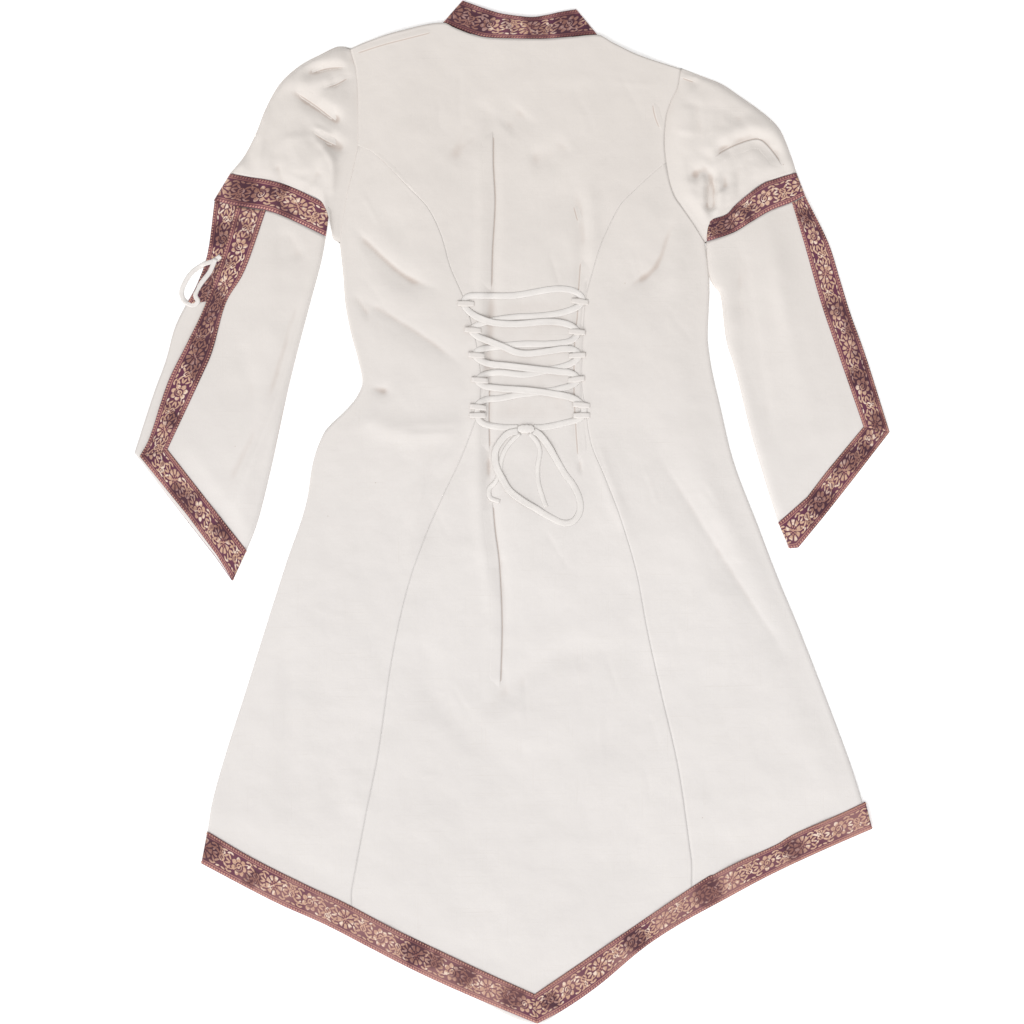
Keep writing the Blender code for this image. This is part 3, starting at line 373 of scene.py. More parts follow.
SLEEVES["left"]["creases"] = LEFT_CAP_CREASES
SLEEVES["right"]["creases"] = RIGHT_CAP_CREASES
SLEEVES["left"]["lower_creases"] = [
    ([(-228, 262), (-250, 190), (-276, 110), (-319, 12)], 5, 2.0),
    ([(-238, 262), (-260, 190), (-286, 110), (-327, 22)], 6, -1.6),
    ([(-262, 318), (-240, 290)], 8, -1.2),
    ([(-310, 200), (-296, 120)], 9, -0.8),
]
SLEEVES["right"]["lower_creases"] = [
    ([(262, 300), (276, 200), (300, 90)], 6, -1.0),
    ([(300, 300), (318, 200)], 8, 0.9),
]
SLEEVES["left"]["lips"] = LEFT_CAP_LIPS
SLEEVES["right"]["lips"] = RIGHT_CAP_LIPS


def blend(value, start, end):
    """0 before start, 1 after end, smooth between."""
    share = np.clip((value - start) / (end - start), 0.0, 1.0)
    return share * share * (3 - 2 * share)


def reading(table):
    """A table of (place, value) rows as a function: a smooth line through its rows."""
    rows = sorted(table)
    place = np.array([row[0] for row in rows], float)
    value = np.array([row[1] for row in rows], float)
    slopes = np.diff(value) / np.diff(place)
    tangent = np.zeros(len(rows))
    tangent[0] = slopes[0]
    tangent[-1] = slopes[-1]
    before, after = slopes[:-1], slopes[1:]
    same = before * after > 0
    mean = np.zeros(len(before))
    mean[same] = 2 * before[same] * after[same] / (before[same] + after[same])
    tangent[1:-1] = mean

    def read(x):
        x = np.clip(np.asarray(x, float), place[0], place[-1])
        k = np.clip(np.searchsorted(place, x) - 1, 0, len(place) - 2)
        step = place[k + 1] - place[k]
        t = (x - place[k]) / step
        return (
            value[k] * (1 + 2 * t) * (1 - t) ** 2 + tangent[k] * step * t * (1 - t) ** 2
            + value[k + 1] * t * t * (3 - 2 * t) + tangent[k + 1] * step * t * t * (t - 1)
        )

    return read


def rounded(points, per_step=6):
    """A smooth line through points."""
    p = np.array(points, float)
    p = np.vstack([2 * p[0] - p[1], p, 2 * p[-1] - p[-2]])
    t = np.linspace(0, 1, per_step, endpoint=False)[:, None]
    spans = []
    for a, b, c, d in zip(p, p[1:], p[2:], p[3:]):
        spans.append(
            0.5 * (2 * b + (c - a) * t + (2 * a - 5 * b + 4 * c - d) * t ** 2
                   + (3 * b - a - 3 * c + d) * t ** 3)
        )
    return np.vstack(spans + [p[-2:-1]])


def run_of(points):
    """How far along a line each of its points is."""
    p = np.asarray(points, float)
    return np.concatenate([[0], np.cumsum(np.linalg.norm(np.diff(p[:, :2], axis=0), axis=1))])


def along(points, shares):
    """Points at shares of a line's length."""
    p = np.asarray(points, float)
    run = run_of(p)
    places = np.asarray(shares, float) * run[-1]
    return np.stack([np.interp(places, run, p[:, k]) for k in range(p.shape[1])], axis=-1)


def patch(top, bottom, left, right, rows, columns):
    """A grid between four lines that meet at their ends: the Coons patch."""
    v = np.linspace(0, 1, rows + 1)[:, None, None]
    u = np.linspace(0, 1, columns + 1)[None, :, None]
    across = along(top, u[0, :, 0])[None] * (1 - v) + along(bottom, u[0, :, 0])[None] * v
    down = along(left, v[:, 0, 0])[:, None] * (1 - u) + along(right, v[:, 0, 0])[:, None] * u
    a, b = along(top, [0, 1])
    c, d = along(bottom, [0, 1])
    return across + down - ((a * (1 - u) + b * u) * (1 - v) + (c * (1 - u) + d * u) * v)


def strip(outer, inner, rows, columns):
    """A grid from one line to another: rows along them, columns across."""
    shares = np.linspace(0, 1, rows + 1)
    v = np.linspace(0, 1, columns + 1)[None, :, None]
    return along(outer, shares)[:, None] * (1 - v) + along(inner, shares)[:, None] * v


def ribbon_map(grid, start=0.0, mitre_first=False):
    """Texture places of a ribbon's grid in metres: along it and across it."""
    outer = run_of(grid[:, 0])
    inner = run_of(grid[:, -1])
    if mitre_first:
        inner = inner + outer[-1] - inner[-1]
    v = np.linspace(0, 1, grid.shape[1])[None]
    u = outer[:, None] * (1 - v) + inner[:, None] * v + start
    return np.stack([u, np.broadcast_to(v * RIBBON_WIDTH, u.shape)], axis=-1) * MM


def round_map(grid):
    """The same for a ribbon whose grid has its rows across it, as a ring's has."""
    return ribbon_map(grid.transpose(1, 0, 2)).transpose(1, 0, 2)


def relief(x, y, folds):
    """The height of all folds, each a soft ridge or trough that fades at its ends."""
    height = np.zeros(np.broadcast(x, y).shape)
    for points, half_width, rise in folds:
        line = rounded(points, 3)
        run = run_of(line)
        near = np.full(height.shape, 1e9)
        place = np.zeros(height.shape)
        for a, b, start in zip(line, line[1:], run):
            step = b - a
            length = max(1e-9, math.hypot(*step))
            share = np.clip(((x - a[0]) * step[0] + (y - a[1]) * step[1]) / length ** 2, 0, 1)
            off = np.hypot(x - a[0] - share * step[0], y - a[1] - share * step[1])
            nearer = off < near
            near = np.where(nearer, off, near)
            place = np.where(nearer, start + share * length, place)
        ends = np.minimum(place, run[-1] - place) / run[-1]
        faded = 0.25 + 0.75 * blend(ends, 0, FOLD_FADE)
        height += rise * np.exp(-((near / half_width) ** 2)) * faded
    return height


def crumple(x, y, size, height, seed=0.0):
    """Soft uneven cloth: smooth noise of about that size and height."""
    flat = np.column_stack([np.ravel(x), np.ravel(y)]) / size
    values = [
        noise.noise((a, b, seed)) + 0.5 * noise.noise((2.1 * a, 2.1 * b, seed + 5)) for a, b in flat
    ]
    return np.reshape(values, np.shape(x)) * height


def rolled(distance, radius):
    """0 at an edge and 1 from radius inwards, round like the edge of folded cloth."""
    share = 1 - np.clip(distance / radius, 0, 1)
    return np.sqrt(np.maximum(0.0, 1 - share * share))


def faint_creases(count, low, high, seed):
    """Short faint creases strewn over a stretch of cloth, mostly along its length."""
    draw = np.random.default_rng(seed)
    made = []
    for _ in range(count):
        x, y = draw.uniform(low, high)
        turn = draw.normal(math.pi / 2, 0.6)
        length = draw.uniform(18, 60)
        bend = draw.normal(0, 4)
        step = np.array([math.cos(turn), math.sin(turn)]) * length / 2
        side = np.array([-step[1], step[0]]) / length * bend
        start, middle, end = (x, y) - step, (x, y) + side, (x, y) + step
        line = [tuple(start), tuple(middle), tuple(end)]
        made.append((line, draw.uniform(2.4, 3.6), draw.uniform(-0.5, 0.4)))
    return made


STREWN = faint_creases(90, (-230, -330), (260, 530), 11)
left_edge = reading(LEFT_EDGE)
right_edge = reading(RIGHT_EDGE)
left_princess = reading(LEFT_PRINCESS)
right_princess = reading(RIGHT_PRINCESS)
hem_trim_top = reading(HEM_TRIM_TOP)
hem_line = reading(HEM)


def back_top(x, y):
    """The back's upper surface: the solids' own, with finer creases and crumpled cloth."""
    edge = np.minimum(x - left_edge(y), right_edge(y) - x)
    above_trim = y - hem_trim_top(x)
    over_trim = (RIBBON + GAP) * blend(above_trim, 70, 25)
    inside = blend(edge, 2, 45) * blend(above_trim, 10, 70)
    loose = np.maximum(0, 2.6 + relief(x, y, BACK_FOLDS)) * inside
    fine = relief(x, y, BACK_CREASES) + relief(x, y, STREWN)
    fine = fine + crumple(x, y, 55, 0.9) + crumple(x, y, 17, 0.22, 3.0)
    fine = fine * blend(edge, 0, 25) * blend(above_trim, -10, 30)
    return LAYERS + over_trim + loose + fine


def columns_between(left, right, shares, lines):
    """For each column, the height at which it meets each line across the gown."""
    stops = []
    for across in lines:
        low = np.full(len(shares), -700.0)
        high = np.full(len(shares), 700.0)
        for _ in range(40):
            y = 0.5 * (low + high)
            below = across(left(y) * (1 - shares) + right(y) * shares) > y
            low = np.where(below, y, low)
            high = np.where(below, high, y)
        stops.append(0.5 * (low + high))
    return stops


def panel_grid(left, right, columns, lines, steps):
    """Rows of (x, y) between two edges: lines across, with steps between each two of them."""
    shares = np.linspace(0, 1, columns + 1)
    stops = columns_between(left, right, shares, lines)
    rows = []
    for part, count in enumerate(steps):
        for k in range(0 if part == 0 else 1, count + 1):
            y = stops[part] + (stops[part + 1] - stops[part]) * k / count
            rows.append(np.stack([left(y) * (1 - shares) + right(y) * shares, y], axis=-1))
    return np.array(rows)


def with_height(grid, height):
    """A grid of (x, y) with heights."""
    return np.concatenate([grid, np.broadcast_to(height, grid.shape[:2])[..., None]], axis=-1)


def linked(name, data):
    """An object with that data, put into the scene."""
    made = bpy.data.objects.new(name, data)
    bpy.context.scene.collection.objects.link(made)
    return made


def piece_from(name, points, faces, finish, places=None, fold=None):
    """A smooth-shaded piece from points in millimetres, with its texture places and the fold depth that
    sets its painted crease shade.
    """
    points = np.asarray(points, float) * MM
    faces = np.asarray(faces, int)
    corners = points[faces]
    middle = corners.mean(axis=1)
    normal = np.cross(corners[:, 2] - corners[:, 0], corners[:, 3] - corners[:, 1])
    if np.einsum("ij,ij->", middle - points.mean(axis=0), normal) < 0:
        faces = faces[:, ::-1]
    mesh = bpy.data.meshes.new(name)
    mesh.from_pydata(points.tolist(), [], faces.tolist())
    if places is not None:
        layer = mesh.uv_layers.new(name="UVMap")
        layer.data.foreach_set("uv", np.asarray(places, float)[faces.ravel()].ravel())
    if fold is not None:
        depth = mesh.attributes.new("fold", "FLOAT", "POINT")
        depth.data.foreach_set("value", np.asarray(fold, float).ravel())
    mesh.materials.append(finish)
    mesh.shade_smooth()
    return linked(name, mesh)


def wall_faces(rows, columns, shift):
    """Faces of a wall between two matching grids, the second shift points after the first."""
    index = np.arange(rows * columns).reshape(rows, columns)
    top = np.stack([index[:-1, :-1], index[:-1, 1:], index[1:, 1:], index[1:, :-1]], -1)
    top = top.reshape(-1, 4)
    rim = np.concatenate([index[0], index[1:, -1], index[-1, -2::-1], index[-2:0:-1, 0]])
    after = np.roll(rim, -1)
    side = np.stack([after, rim, rim + shift, after + shift], -1)
    return np.concatenate([top, top[:, ::-1] + shift, side])


def wall(name, upper, lower, finish, places=None, fold=None):
    """A closed wall of cloth between two matching grids of points."""
    rows, columns = upper.shape[:2]
    count = rows * columns
    points = np.concatenate([upper.reshape(-1, 3), lower.reshape(-1, 3)])
    faces = wall_faces(rows, columns, count)
    if places is not None:
        flat = places.reshape(-1, 2)
        places = np.concatenate([flat, flat])
    if fold is not None:
        fold = np.concatenate([fold.ravel(), np.zeros(count)])
    return piece_from(name, points, faces, finish, places, fold)


def shell_under(upper, thickness, floor=0.15):
    """The lower side of a shell: straight below its upper side."""
    lower = upper.copy()
    lower[..., 2] = np.maximum(floor, upper[..., 2] - thickness)
    return lower


def hollow_depth(heights):
    """How deep each point lies below the cloth round it, for the painted shade in its creases."""
    padded = np.pad(heights, HOLLOW_REACH, mode="edge")
    inside = slice(HOLLOW_REACH, -HOLLOW_REACH)
    total = np.zeros(heights.shape)
    for axis in (0, 1):
        for offset in (-HOLLOW_REACH, HOLLOW_REACH):
            total += np.roll(padded, offset, axis)[inside, inside]
    return total / 4 - heights


def joined(name, pieces):
    """Several pieces as one, keeping their texture places and the fold depths of their painted crease
    shade.
    """
    vertices, faces, places, folds = [], [], [], []
    finish = pieces[0].data.materials[0]
    shift = 0
    for piece in pieces:
        mesh = piece.data
        vertices += [v.co[:] for v in mesh.vertices]
        faces += [[shift + k for k in face.vertices] for face in mesh.polygons]
        places += [loop.uv[:] for loop in mesh.uv_layers[0].data] if mesh.uv_layers else []
        if "fold" in mesh.attributes:
            folds += [value.value for value in mesh.attributes["fold"].data]
        shift += len(mesh.vertices)
    made = bpy.data.meshes.new(name)
    made.from_pydata(vertices, [], faces)
    if places:
        layer = made.uv_layers.new(name="UVMap")
        layer.data.foreach_set("uv", np.ravel(places))
    if len(folds) == len(vertices):
        made.attributes.new("fold", "FLOAT", "POINT").data.foreach_set("value", folds)
    made.materials.append(finish)
    made.shade_smooth()
    for piece in pieces:
        mesh = piece.data
        bpy.data.objects.remove(piece)
        bpy.data.meshes.remove(mesh)
    return linked(name, made)


def round_section(first, second):
    """Two matching grids as closed sections: along the first and back along the second."""
    return np.concatenate([first, second[:, ::-1]], axis=1)


def ring(name, outer, inner, finish, places=None, fold=None):
    """A flattened tube: each row of points is one closed section, with a wall inside it."""
    rows, count = outer.shape[:2]
    index = np.arange(rows * count).reshape(rows, count)
    after = np.roll(index, -1, axis=1)
    shift = rows * count
    outside = np.stack([index[:-1], after[:-1], after[1:], index[1:]], -1).reshape(-1, 4)
    first = np.stack([index[0], index[0] + shift, after[0] + shift, after[0]], -1)
    last = np.stack([after[-1], after[-1] + shift, index[-1] + shift, index[-1]], -1)
    faces = np.concatenate([outside, outside[:, ::-1] + shift, first, last])
    points = np.concatenate([outer.reshape(-1, 3), inner.reshape(-1, 3)])
    if places is not None:
        flat = places.reshape(-1, 2)
        places = np.concatenate([flat, flat])
    if fold is not None:
        fold = np.concatenate([fold.ravel(), np.zeros(shift)])
    return piece_from(name, points, faces, finish, places, fold)


def lip_rows(rise):
    """Across a lapped fold, from its flat side over its crest: (share or distance, height, painted
    shade).
    """
    return (
        (-1.0, -0.15, 0), (-0.66, 0.12 * rise, 0), (-0.33, 0.5 * rise, 0), (-0.1, 0.92 * rise, 0),
        (0.0, 0.85 * rise, 0), (0.25, 0.1, 2.5), (1.2, 0.08, 2.0), (2.4, 0.02, 0), (3.0, -0.25, 0),
    )


def make_lips(name, cloth, lips, finish):
    """Pressed folds on a piece: each laps over a narrow gutter darkened with painted shade, and fades at
    its ends.
    """
    ground = heights_of([cloth])
    made = [cloth]
    for number, (points, width, rise, side) in enumerate(lips):
        line = even_points([(x, y, 0) for x, y in points], LIP_STEP)
        ahead = np.gradient(line[:, :2], axis=0)
        ahead /= np.linalg.norm(ahead, axis=1)[:, None]
        normal = np.stack([ahead[:, 1], -ahead[:, 0]], axis=-1) * side
        run = run_of(line)
        ends = blend(np.minimum(run, run[-1] - run), 0, min(16, run[-1] / 3))
        upper = np.zeros((len(line), 9, 3))
        tone = np.zeros((len(line), 9))
        for k, (place, height, shade) in enumerate(lip_rows(rise)):
            offset = place * width if place < 0 else place
            taper = (0.2 + 0.8 * ends)[:, None]
            upper[:, k, :2] = line[:, :2] + normal * offset * taper
            fading = ends if height > 0 else 1.0
            upper[:, k, 2] = height * fading - 0.3 * (1 - ends)
            # Painted shade: the gutter beside the crest is darkened through the fold depth.
            tone[:, k] = shade * ends
        for row in upper:
            for point in row:
                point[2] = max(LIP_FLOOR, point[2] + ground(point[0], point[1]))
        lower = shell_under(upper, LIP_WALL)
        made.append(wall("lip%d" % number, upper, lower, finish, cloth_map(upper), tone))
    return joined(name, made)


def cloth_map(grid):
    """Texture places of cloth: where it lies, in metres."""
    return grid[..., :2] * MM


def back_panel(name, left, right, columns, lines, steps, finish):
    """One panel of the back, its edges rolled down into the seams and sides."""
    grid = panel_grid(left, right, columns, lines, steps)
    x, y = grid[..., 0], grid[..., 1]
    height = back_top(x, y)
    seam = np.minimum(x - left(y), right(y) - x)
    side = np.minimum(x - left_edge(y), right_edge(y) - x)
    at_side = blend(y, UNDERARM + 4, UNDERARM - 4) * (1 - rolled(side, 3.4))
    height -= np.maximum(1.3 * at_side, 0.05 * (1 - rolled(seam, 2.6)))
    upper = with_height(grid, height)
    # Painted shade through the fold depth: darker in the hollows, and darker between the lace's loops.
    shade_between_loops = blend(x, -42, -30) * blend(x, 74, 62) * blend(y, 96, 112) * blend(y, 250, 236)
    fold = hollow_depth(height) + 0.75 * shade_between_loops
    return wall(name, upper, shell_under(upper, SHELL), finish, cloth_map(grid), fold)


def side_line(edge):
    """The side of the gown below the armhole, straight up above it."""
    return reading([row for row in edge if row[0] <= UNDERARM])


def armhole_top(edge, princess):
    """The armhole's lower part, which is the top of a side back."""
    rows = [(x, y) for y, x in edge if UNDERARM <= y < princess[0][0]]
    return reading(rows + [(princess[0][1], princess[0][0])])


def shifted(line, distance):
    """The same line, moved along its values."""
    return lambda place: line(place) + distance


def make_front(cotton):
    """The front, flat on the surface, stepping over its own ribbon at the hem."""
    neck = [(NECK_MIDDLE + (x - NECK_MIDDLE) * FRONT_NECK_WIDER, y) for x, y in FRONT_NECK[1:-1]]
    left_end = (SHOULDER_LEFT[-1][0] - 5, SHOULDER_LEFT[-1][1])
    right_end = (SHOULDER_RIGHT[0][0] + 5, SHOULDER_RIGHT[0][1])
    top = reading(SHOULDER_LEFT[:-1] + [left_end] + neck + [right_end] + SHOULDER_RIGHT[1:])
    lines = [
        shifted(top, -FRONT_NECK_GAP), lambda x: UNDERARM + 0 * x, shifted(hem_trim_top, 11.5),
        shifted(hem_trim_top, 1.5), shifted(hem_line, 2.5),
    ]
    grid = panel_grid(shifted(left_edge, 1.5), shifted(right_edge, -1.5), 110, lines, [60, 130, 4, 10])
    lift = (RIBBON + GAP) * blend(grid[..., 1] - hem_trim_top(grid[..., 0]), 11, 2)
    lower = with_height(grid, lift)
    upper = with_height(grid, lift + CLOTH)
    return wall("gown_front", upper, lower, cotton, cloth_map(grid))


def left_centre(y):
    """The centre back's left edge: armhole above, princess seam below."""
    return np.where(y > LEFT_PRINCESS[0][0], left_edge(y), left_princess(y)) - 0.15


def right_centre(y):
    """The centre back's right edge: armhole above, princess seam below."""
    return np.where(y > RIGHT_PRINCESS[0][0], right_edge(y), right_princess(y)) + 0.15


def make_back(cotton):
    """The three panels of the back."""
    neck = reading(SHOULDER_LEFT + BACK_NECK[1:-1] + SHOULDER_RIGHT)
    across = reading([(x, y) for y, x in (LEFT_PRINCESS[0], RIGHT_PRINCESS[0])])
    down = [hem_trim_top, hem_line]
    centre = back_panel(
        "gown_back_centre", left_centre, right_centre, 132, [shifted(neck, -0.5), across] + down,
        [50, 285, 10], cotton
    )
    left = back_panel(
        "gown_back_side_left", side_line(LEFT_EDGE), shifted(left_princess, -0.05), 64,
        [armhole_top(LEFT_EDGE, LEFT_PRINCESS)] + down, [270, 10], cotton
    )
    right = back_panel(
        "gown_back_side_right", shifted(right_princess, 0.05), side_line(RIGHT_EDGE), 64,
        [armhole_top(RIGHT_EDGE, RIGHT_PRINCESS)] + down, [250, 10], cotton
    )
    return centre, left, right


# Lines along the ribbons' edges on which the rungs of thread are set, in millimetres.
rung_lines = []


def ribbon_strip(name, outer, inner, under, brocade, rows, start=0.0, mitre_first=False):
    """A stretch of ribbon between its two edges, lying on a surface given as under(x, y)."""
    grid = strip(outer, inner, rows, RIBBON_COLUMNS)
    x, y = grid[..., 0], grid[..., 1]
    height = under(x, y) + RIBBON
    across = np.linspace(0, RIBBON_WIDTH, RIBBON_COLUMNS + 1)[None]
    height = height - 0.7 * (1 - rolled(np.minimum(across, RIBBON_WIDTH - across), 1.6))
    upper = with_height(grid, height)
    lower = with_height(grid, under(x, y))
    if lower[..., 2].min() > RIBBON:
        for share in (RUNG_INSET, 1 - RUNG_INSET):
            column = share * RIBBON_COLUMNS
            first = int(column)
            near, far = upper[:, first], upper[:, first + 1]
            rung_lines.append(near * (first + 1 - column) + far * (column - first))
    places = ribbon_map(grid, start, mitre_first)
    return wall(name, upper, lower, brocade, places)


def on_floor(x, y):
    """The height on which a ribbon lies where only the floor is below it."""
    return 0 * x


def hem_wave(x, y):
    """How the hem's ribbon ripples, more on its right half."""
    right = 0.35 + 0.65 * blend(x, 20, 160)
    ripple = (0.9 * np.sin(x / 13.0 + 0.6 * np.sin(x / 31.0)) + 0.9) * 0.5 * right
    return ripple + crumple(x, y, 40, 0.5, 9.0)


def make_hem_ribbons(brocade):
    """The ribbons along the hem of the back and of the front, mitred at the point."""
    tip, inner_tip = (29, -588), (26, -554)
    outer_left = rounded([(x, y) for x, y in HEM if x < 28] + [tip])
    outer_right = rounded([tip] + [(x, y) for x, y in HEM if x > 30])
    inner_left = rounded([(x, y) for x, y in HEM_TRIM_TOP if x < 26] + [inner_tip])
    inner_right = rounded([inner_tip] + [(x, y) for x, y in HEM_TRIM_TOP if x > 26])

    def over_back(x, y):
        return 2 * CLOTH + 2 * GAP + RIBBON + GAP + np.maximum(0, hem_wave(x, y))

    made = {}
    for name, under in (("hem_ribbon_back", over_back), ("hem_ribbon_front", on_floor)):
        halves = []
        for side, outer, inner, first in (
            ("left", outer_left, inner_left, False), ("right", outer_right, inner_right, True)
        ):
            halves.append(ribbon_strip(name + side, outer, inner, under, brocade, 170, 0.0, first))
        made[name] = joined(name, halves)
    return made


def make_collar(brocade):
    """The collar band, one flattened ring: its back half over its lower front half."""
    around = np.linspace(0, 1, 121)
    rows = np.linspace(0, 1, 13)[:, None]
    back_top_line = along(rounded(COLLAR_TOP), around)
    back_low_line = along(rounded(BACK_NECK), around)
    front_top_line = along(rounded(COLLAR_FRONT_TOP), around)
    front_low_line = along(rounded(FRONT_NECK), around)
    back = back_top_line[None] * (1 - rows[..., None]) + back_low_line[None] * rows[..., None]
    front = front_top_line[None] * (1 - rows[..., None]) + front_low_line[None] * rows[..., None]
    swell = 1.6 * np.sin(math.pi * around)[None] + 0.5 * np.sin(math.pi * rows)
    side = np.minimum(around, 1 - around)[None] * 175
    above = CLOTH + GAP + swell + CLOTH - 1.2 * (1 - rolled(side, 3.0))
    above = above + crumple(back[..., 0], back[..., 1], 30, 0.35, 2.0)
    below = 0.9 * (1 - rolled(side, 3.0))
    inner_above = above - 0.8
    inner_below = np.minimum(below + 0.8, inner_above)
    outer = round_section(with_height(back, above), with_height(front, below))
    inner = round_section(with_height(back, inner_above), with_height(front, inner_below))
    back_map, front_map = round_map(back), round_map(front)
    front_map[..., 0] = 2 * back_map[0, -1, 0] - front_map[..., 0] * 0.9
    return ring("collar_band", outer, inner, brocade, round_section(back_map, front_map))


def tube(name, grid, top, wall_width, finish, places, radius=7.0, fold=True, tuck=0.0):
    """A flattened tube over a grid: flat below, with top(x, y) as the height of its upper side.

    tuck is how far its upper side is moved along X, as where it goes under another cloth.
    """
    x, y = grid[..., 0], grid[..., 1]
    width = np.linalg.norm(grid[:, -1] - grid[:, 0], axis=-1)[:, None]
    share = np.linspace(0, 1, grid.shape[1])[None]
    edge = np.minimum(share, 1 - share) * width
    middle = 1.2
    round_edge = rolled(edge, radius)
    above = middle + (top(x, y) - middle) * round_edge
    below = middle * (1 - rolled(edge, 2.0))
    toward = (0.5 - share)[..., None] * (grid[:, -1:] - grid[:, :1]) / np.maximum(width, 1)[..., None]
    inset = grid + 2 * toward * wall_width * (edge < wall_width)[..., None]
    inner_above = np.maximum(above - wall_width, middle)
    inner_below = np.minimum(below + wall_width, middle)
    side_shift = np.stack([tuck + 0 * x, 0 * x], axis=-1)
    outer = round_section(with_height(grid, below), with_height(grid + side_shift, above))
    inner = round_section(with_height(inset, inner_below), with_height(inset + side_shift, inner_above))
    # The fold depth of its upper side sets the painted shade in its hollows.
    depth = round_section(0 * above, hollow_depth(above)) if fold else None
    return ring(name, outer, inner, finish, round_section(places, places), depth)


def make_upper_sleeve(side, cut, cotton):
    """An upper sleeve: a tube from the armhole to the arm band, gathered at its cap."""
    end = [(x, y + 0.4) for x, y in cut["band_top"][:-1]] + [cut["underarm"][-1]]
    cap = rounded(cut["cap"][:-1] + [end[0]])
    armhole = rounded(cut["armhole"])
    grid = patch(armhole, rounded(end), cap, rounded(cut["underarm"]), 64, 76)
    reach = np.linspace(0, 1, grid.shape[0])[:, None]
    under_body = (2.2 if side == "left" else -2.2) * blend(reach, 0.14, 0)
    from_seam = reach * np.linalg.norm(grid[-1] - grid[0], axis=-1)[None]
    to_cap = np.linspace(0, 1, grid.shape[1])[None]

    def top(x, y):
        soft = 4.5 + relief(x, y, cut["folds"]) + relief(x, y, cut["creases"])
        soft = soft + crumple(x, y, 34, 1.1, 4.0) + crumple(x, y, 12, 0.3, 6.0)
        gathers = 0.5 * np.sin(to_cap * 76) * blend(from_seam, 22, 2) * blend(to_cap, 0.4, 0.05)
        at_seam = blend(from_seam, 1, 18)
        hidden = 0.45 * blend(from_seam, 3.5, 1.5)
        to_band = np.linalg.norm(grid - grid[-1:], axis=-1)
        at_band = 0.45 + 0.55 * blend(to_band, 0, 16)
        return LAYERS - hidden + np.maximum(0.2, soft + gathers) * at_seam * at_band

    name = "sleeve_upper_%s_cloth" % side
    return tube(name, grid, top, SHELL, cotton, cloth_map(grid), 8.0, True, under_body)


def make_arm_band(side, cut, brocade):
    """An arm band: a flattened ring of ribbon between the upper and the lower sleeve."""
    grid = patch(
        rounded(cut["band_top"]), rounded(cut["band_bottom"]),
        [cut["band_top"][0], cut["band_bottom"][0]], cut["band_end"], 12, 72
    )
    across = np.linspace(0, 1, 13)[:, None] * RIBBON_WIDTH

    def top(x, y):
        edge = rolled(np.minimum(across, RIBBON_WIDTH - across), 2.0)
        return LAYERS + 3.0 + crumple(x, y, 26, 0.9, 7.0) - 0.6 * (1 - edge)

    return tube("arm_band_%s_ribbon" % side, grid, top, SHELL, brocade, round_map(grid), 2.4, False)


def make_lower_sleeve(side, cut, cotton, brocade):
    """A lower sleeve, one cut folded at its inner edge, with the ribbons of its two layers."""
    fold_line = rounded(cut["fold"] + [cut["edge_hem"][-1]], 5)

    def layer_grid(slit, hem):
        """One layer: below the arm band, between its slit, its hem and the fold."""
        shown = [p for p in cut["band_bottom"] if abs(p[0]) < abs(slit[0][0]) - 2]
        top_line = [(x, y - GAP) for x, y in [slit[0]] + shown]
        top_line[-1] = tuple(fold_line[0])
        return patch(rounded(top_line), hem, rounded(slit, 5), fold_line, 120, 44)

    back = layer_grid(cut["slit"], cut["edge_hem"])
    front = layer_grid(cut["under_slit"], cut["under_hem"])
    share = np.linspace(0, 1, back.shape[1])[None]
    x, y = back[..., 0], back[..., 1]
    width = np.linalg.norm(back[:, -1] - back[:, 0], axis=-1)[:, None]
    from_fold = (1 - share) * width
    from_slit = share * width
    to_hem = np.linalg.norm(back - back[-1:], axis=-1)
    soft = relief(x, y, cut["lower_folds"]) + relief(x, y, cut["lower_creases"])
    soft = np.maximum(0, 1.3 + soft + crumple(x, y, 60, 1.0, 8.0))
    inside = blend(from_slit, 30, 60) * blend(to_hem, 34, 60)
    above = LAYERS + (RIBBON + GAP) + soft * inside + crumple(x, y, 24, 0.25, 8.5) * inside
    above = 1.4 + (above - 1.4) * rolled(from_fold, 9.0)
    on_ribbon = np.maximum(blend(from_slit, 40, 32), blend(to_hem, 40, 32)) * blend(from_fold, 1, 12)
    below = (RIBBON + GAP) * on_ribbon
    outer = round_section(with_height(front, below), with_height(back, above))
    inner_below = np.minimum(below + SHELL, 1.4 + 1.1 * blend(from_fold, 0, 12))
    inner_above = np.maximum(above - SHELL, inner_below)
    inner = round_section(with_height(front, inner_below), with_height(back, inner_above))
    # The fold depth of its upper side sets the painted shade in its hollows.
    depth = round_section(0 * above, hollow_depth(above))
    places = round_section(cloth_map(front), cloth_map(back))
    cloth = wall("sleeve_lower_%s_cloth" % side, outer, inner, cotton, places, depth)

    def over_back(px, py):
        return LAYERS + RIBBON + 2 * GAP + np.maximum(0, crumple(px, py, 45, 0.8, 5.0))

    ribbons = []
    for layer, edge, hem, under in (
        ("back", cut["slit"], cut["edge_hem"], over_back),
        ("front", cut["under_slit"], cut["under_hem"], on_floor),
    ):
        name = "sleeve_ribbon_%s_%s" % (side, layer)
        outer_edge, inner_edge = rounded(edge, 5), rounded(cut["slit_inside"], 5)
        down = ribbon_strip(name + "_slit", outer_edge, inner_edge, under, brocade, 110)
        turn = run_of(outer_edge)[-1]
        along_hem = ribbon_strip(
            name + "_hem", hem, cut["edge_hem_inside"], under, brocade, 70, turn, True
        )
        parts = [down, along_hem]
        if layer == "front" and side == "left":
            parts.append(make_turned_ribbon(cut, brocade))
        ribbons.append(joined(name, parts))
    return cloth, ribbons


def make_turned_ribbon(cut, brocade):
    """The left sleeve's front ribbon where it turns over the edge and shows beside the slit."""
    edge = [p for p in cut["under_slit"] if p[1] > 200]
    last = edge[-1]
    edge = rounded(edge[:-1] + [((edge[-2][0] + last[0]) / 2, (edge[-2][1] + last[1]) / 2)], 5)
    inner = edge + np.array([RIBBON_WIDTH * 0.9, 4.0])
    return ribbon_strip(
        "turned", edge, inner, lambda x, y: RIBBON + GAP + SHELL + 0.15 + 0 * x, brocade, 50
    )


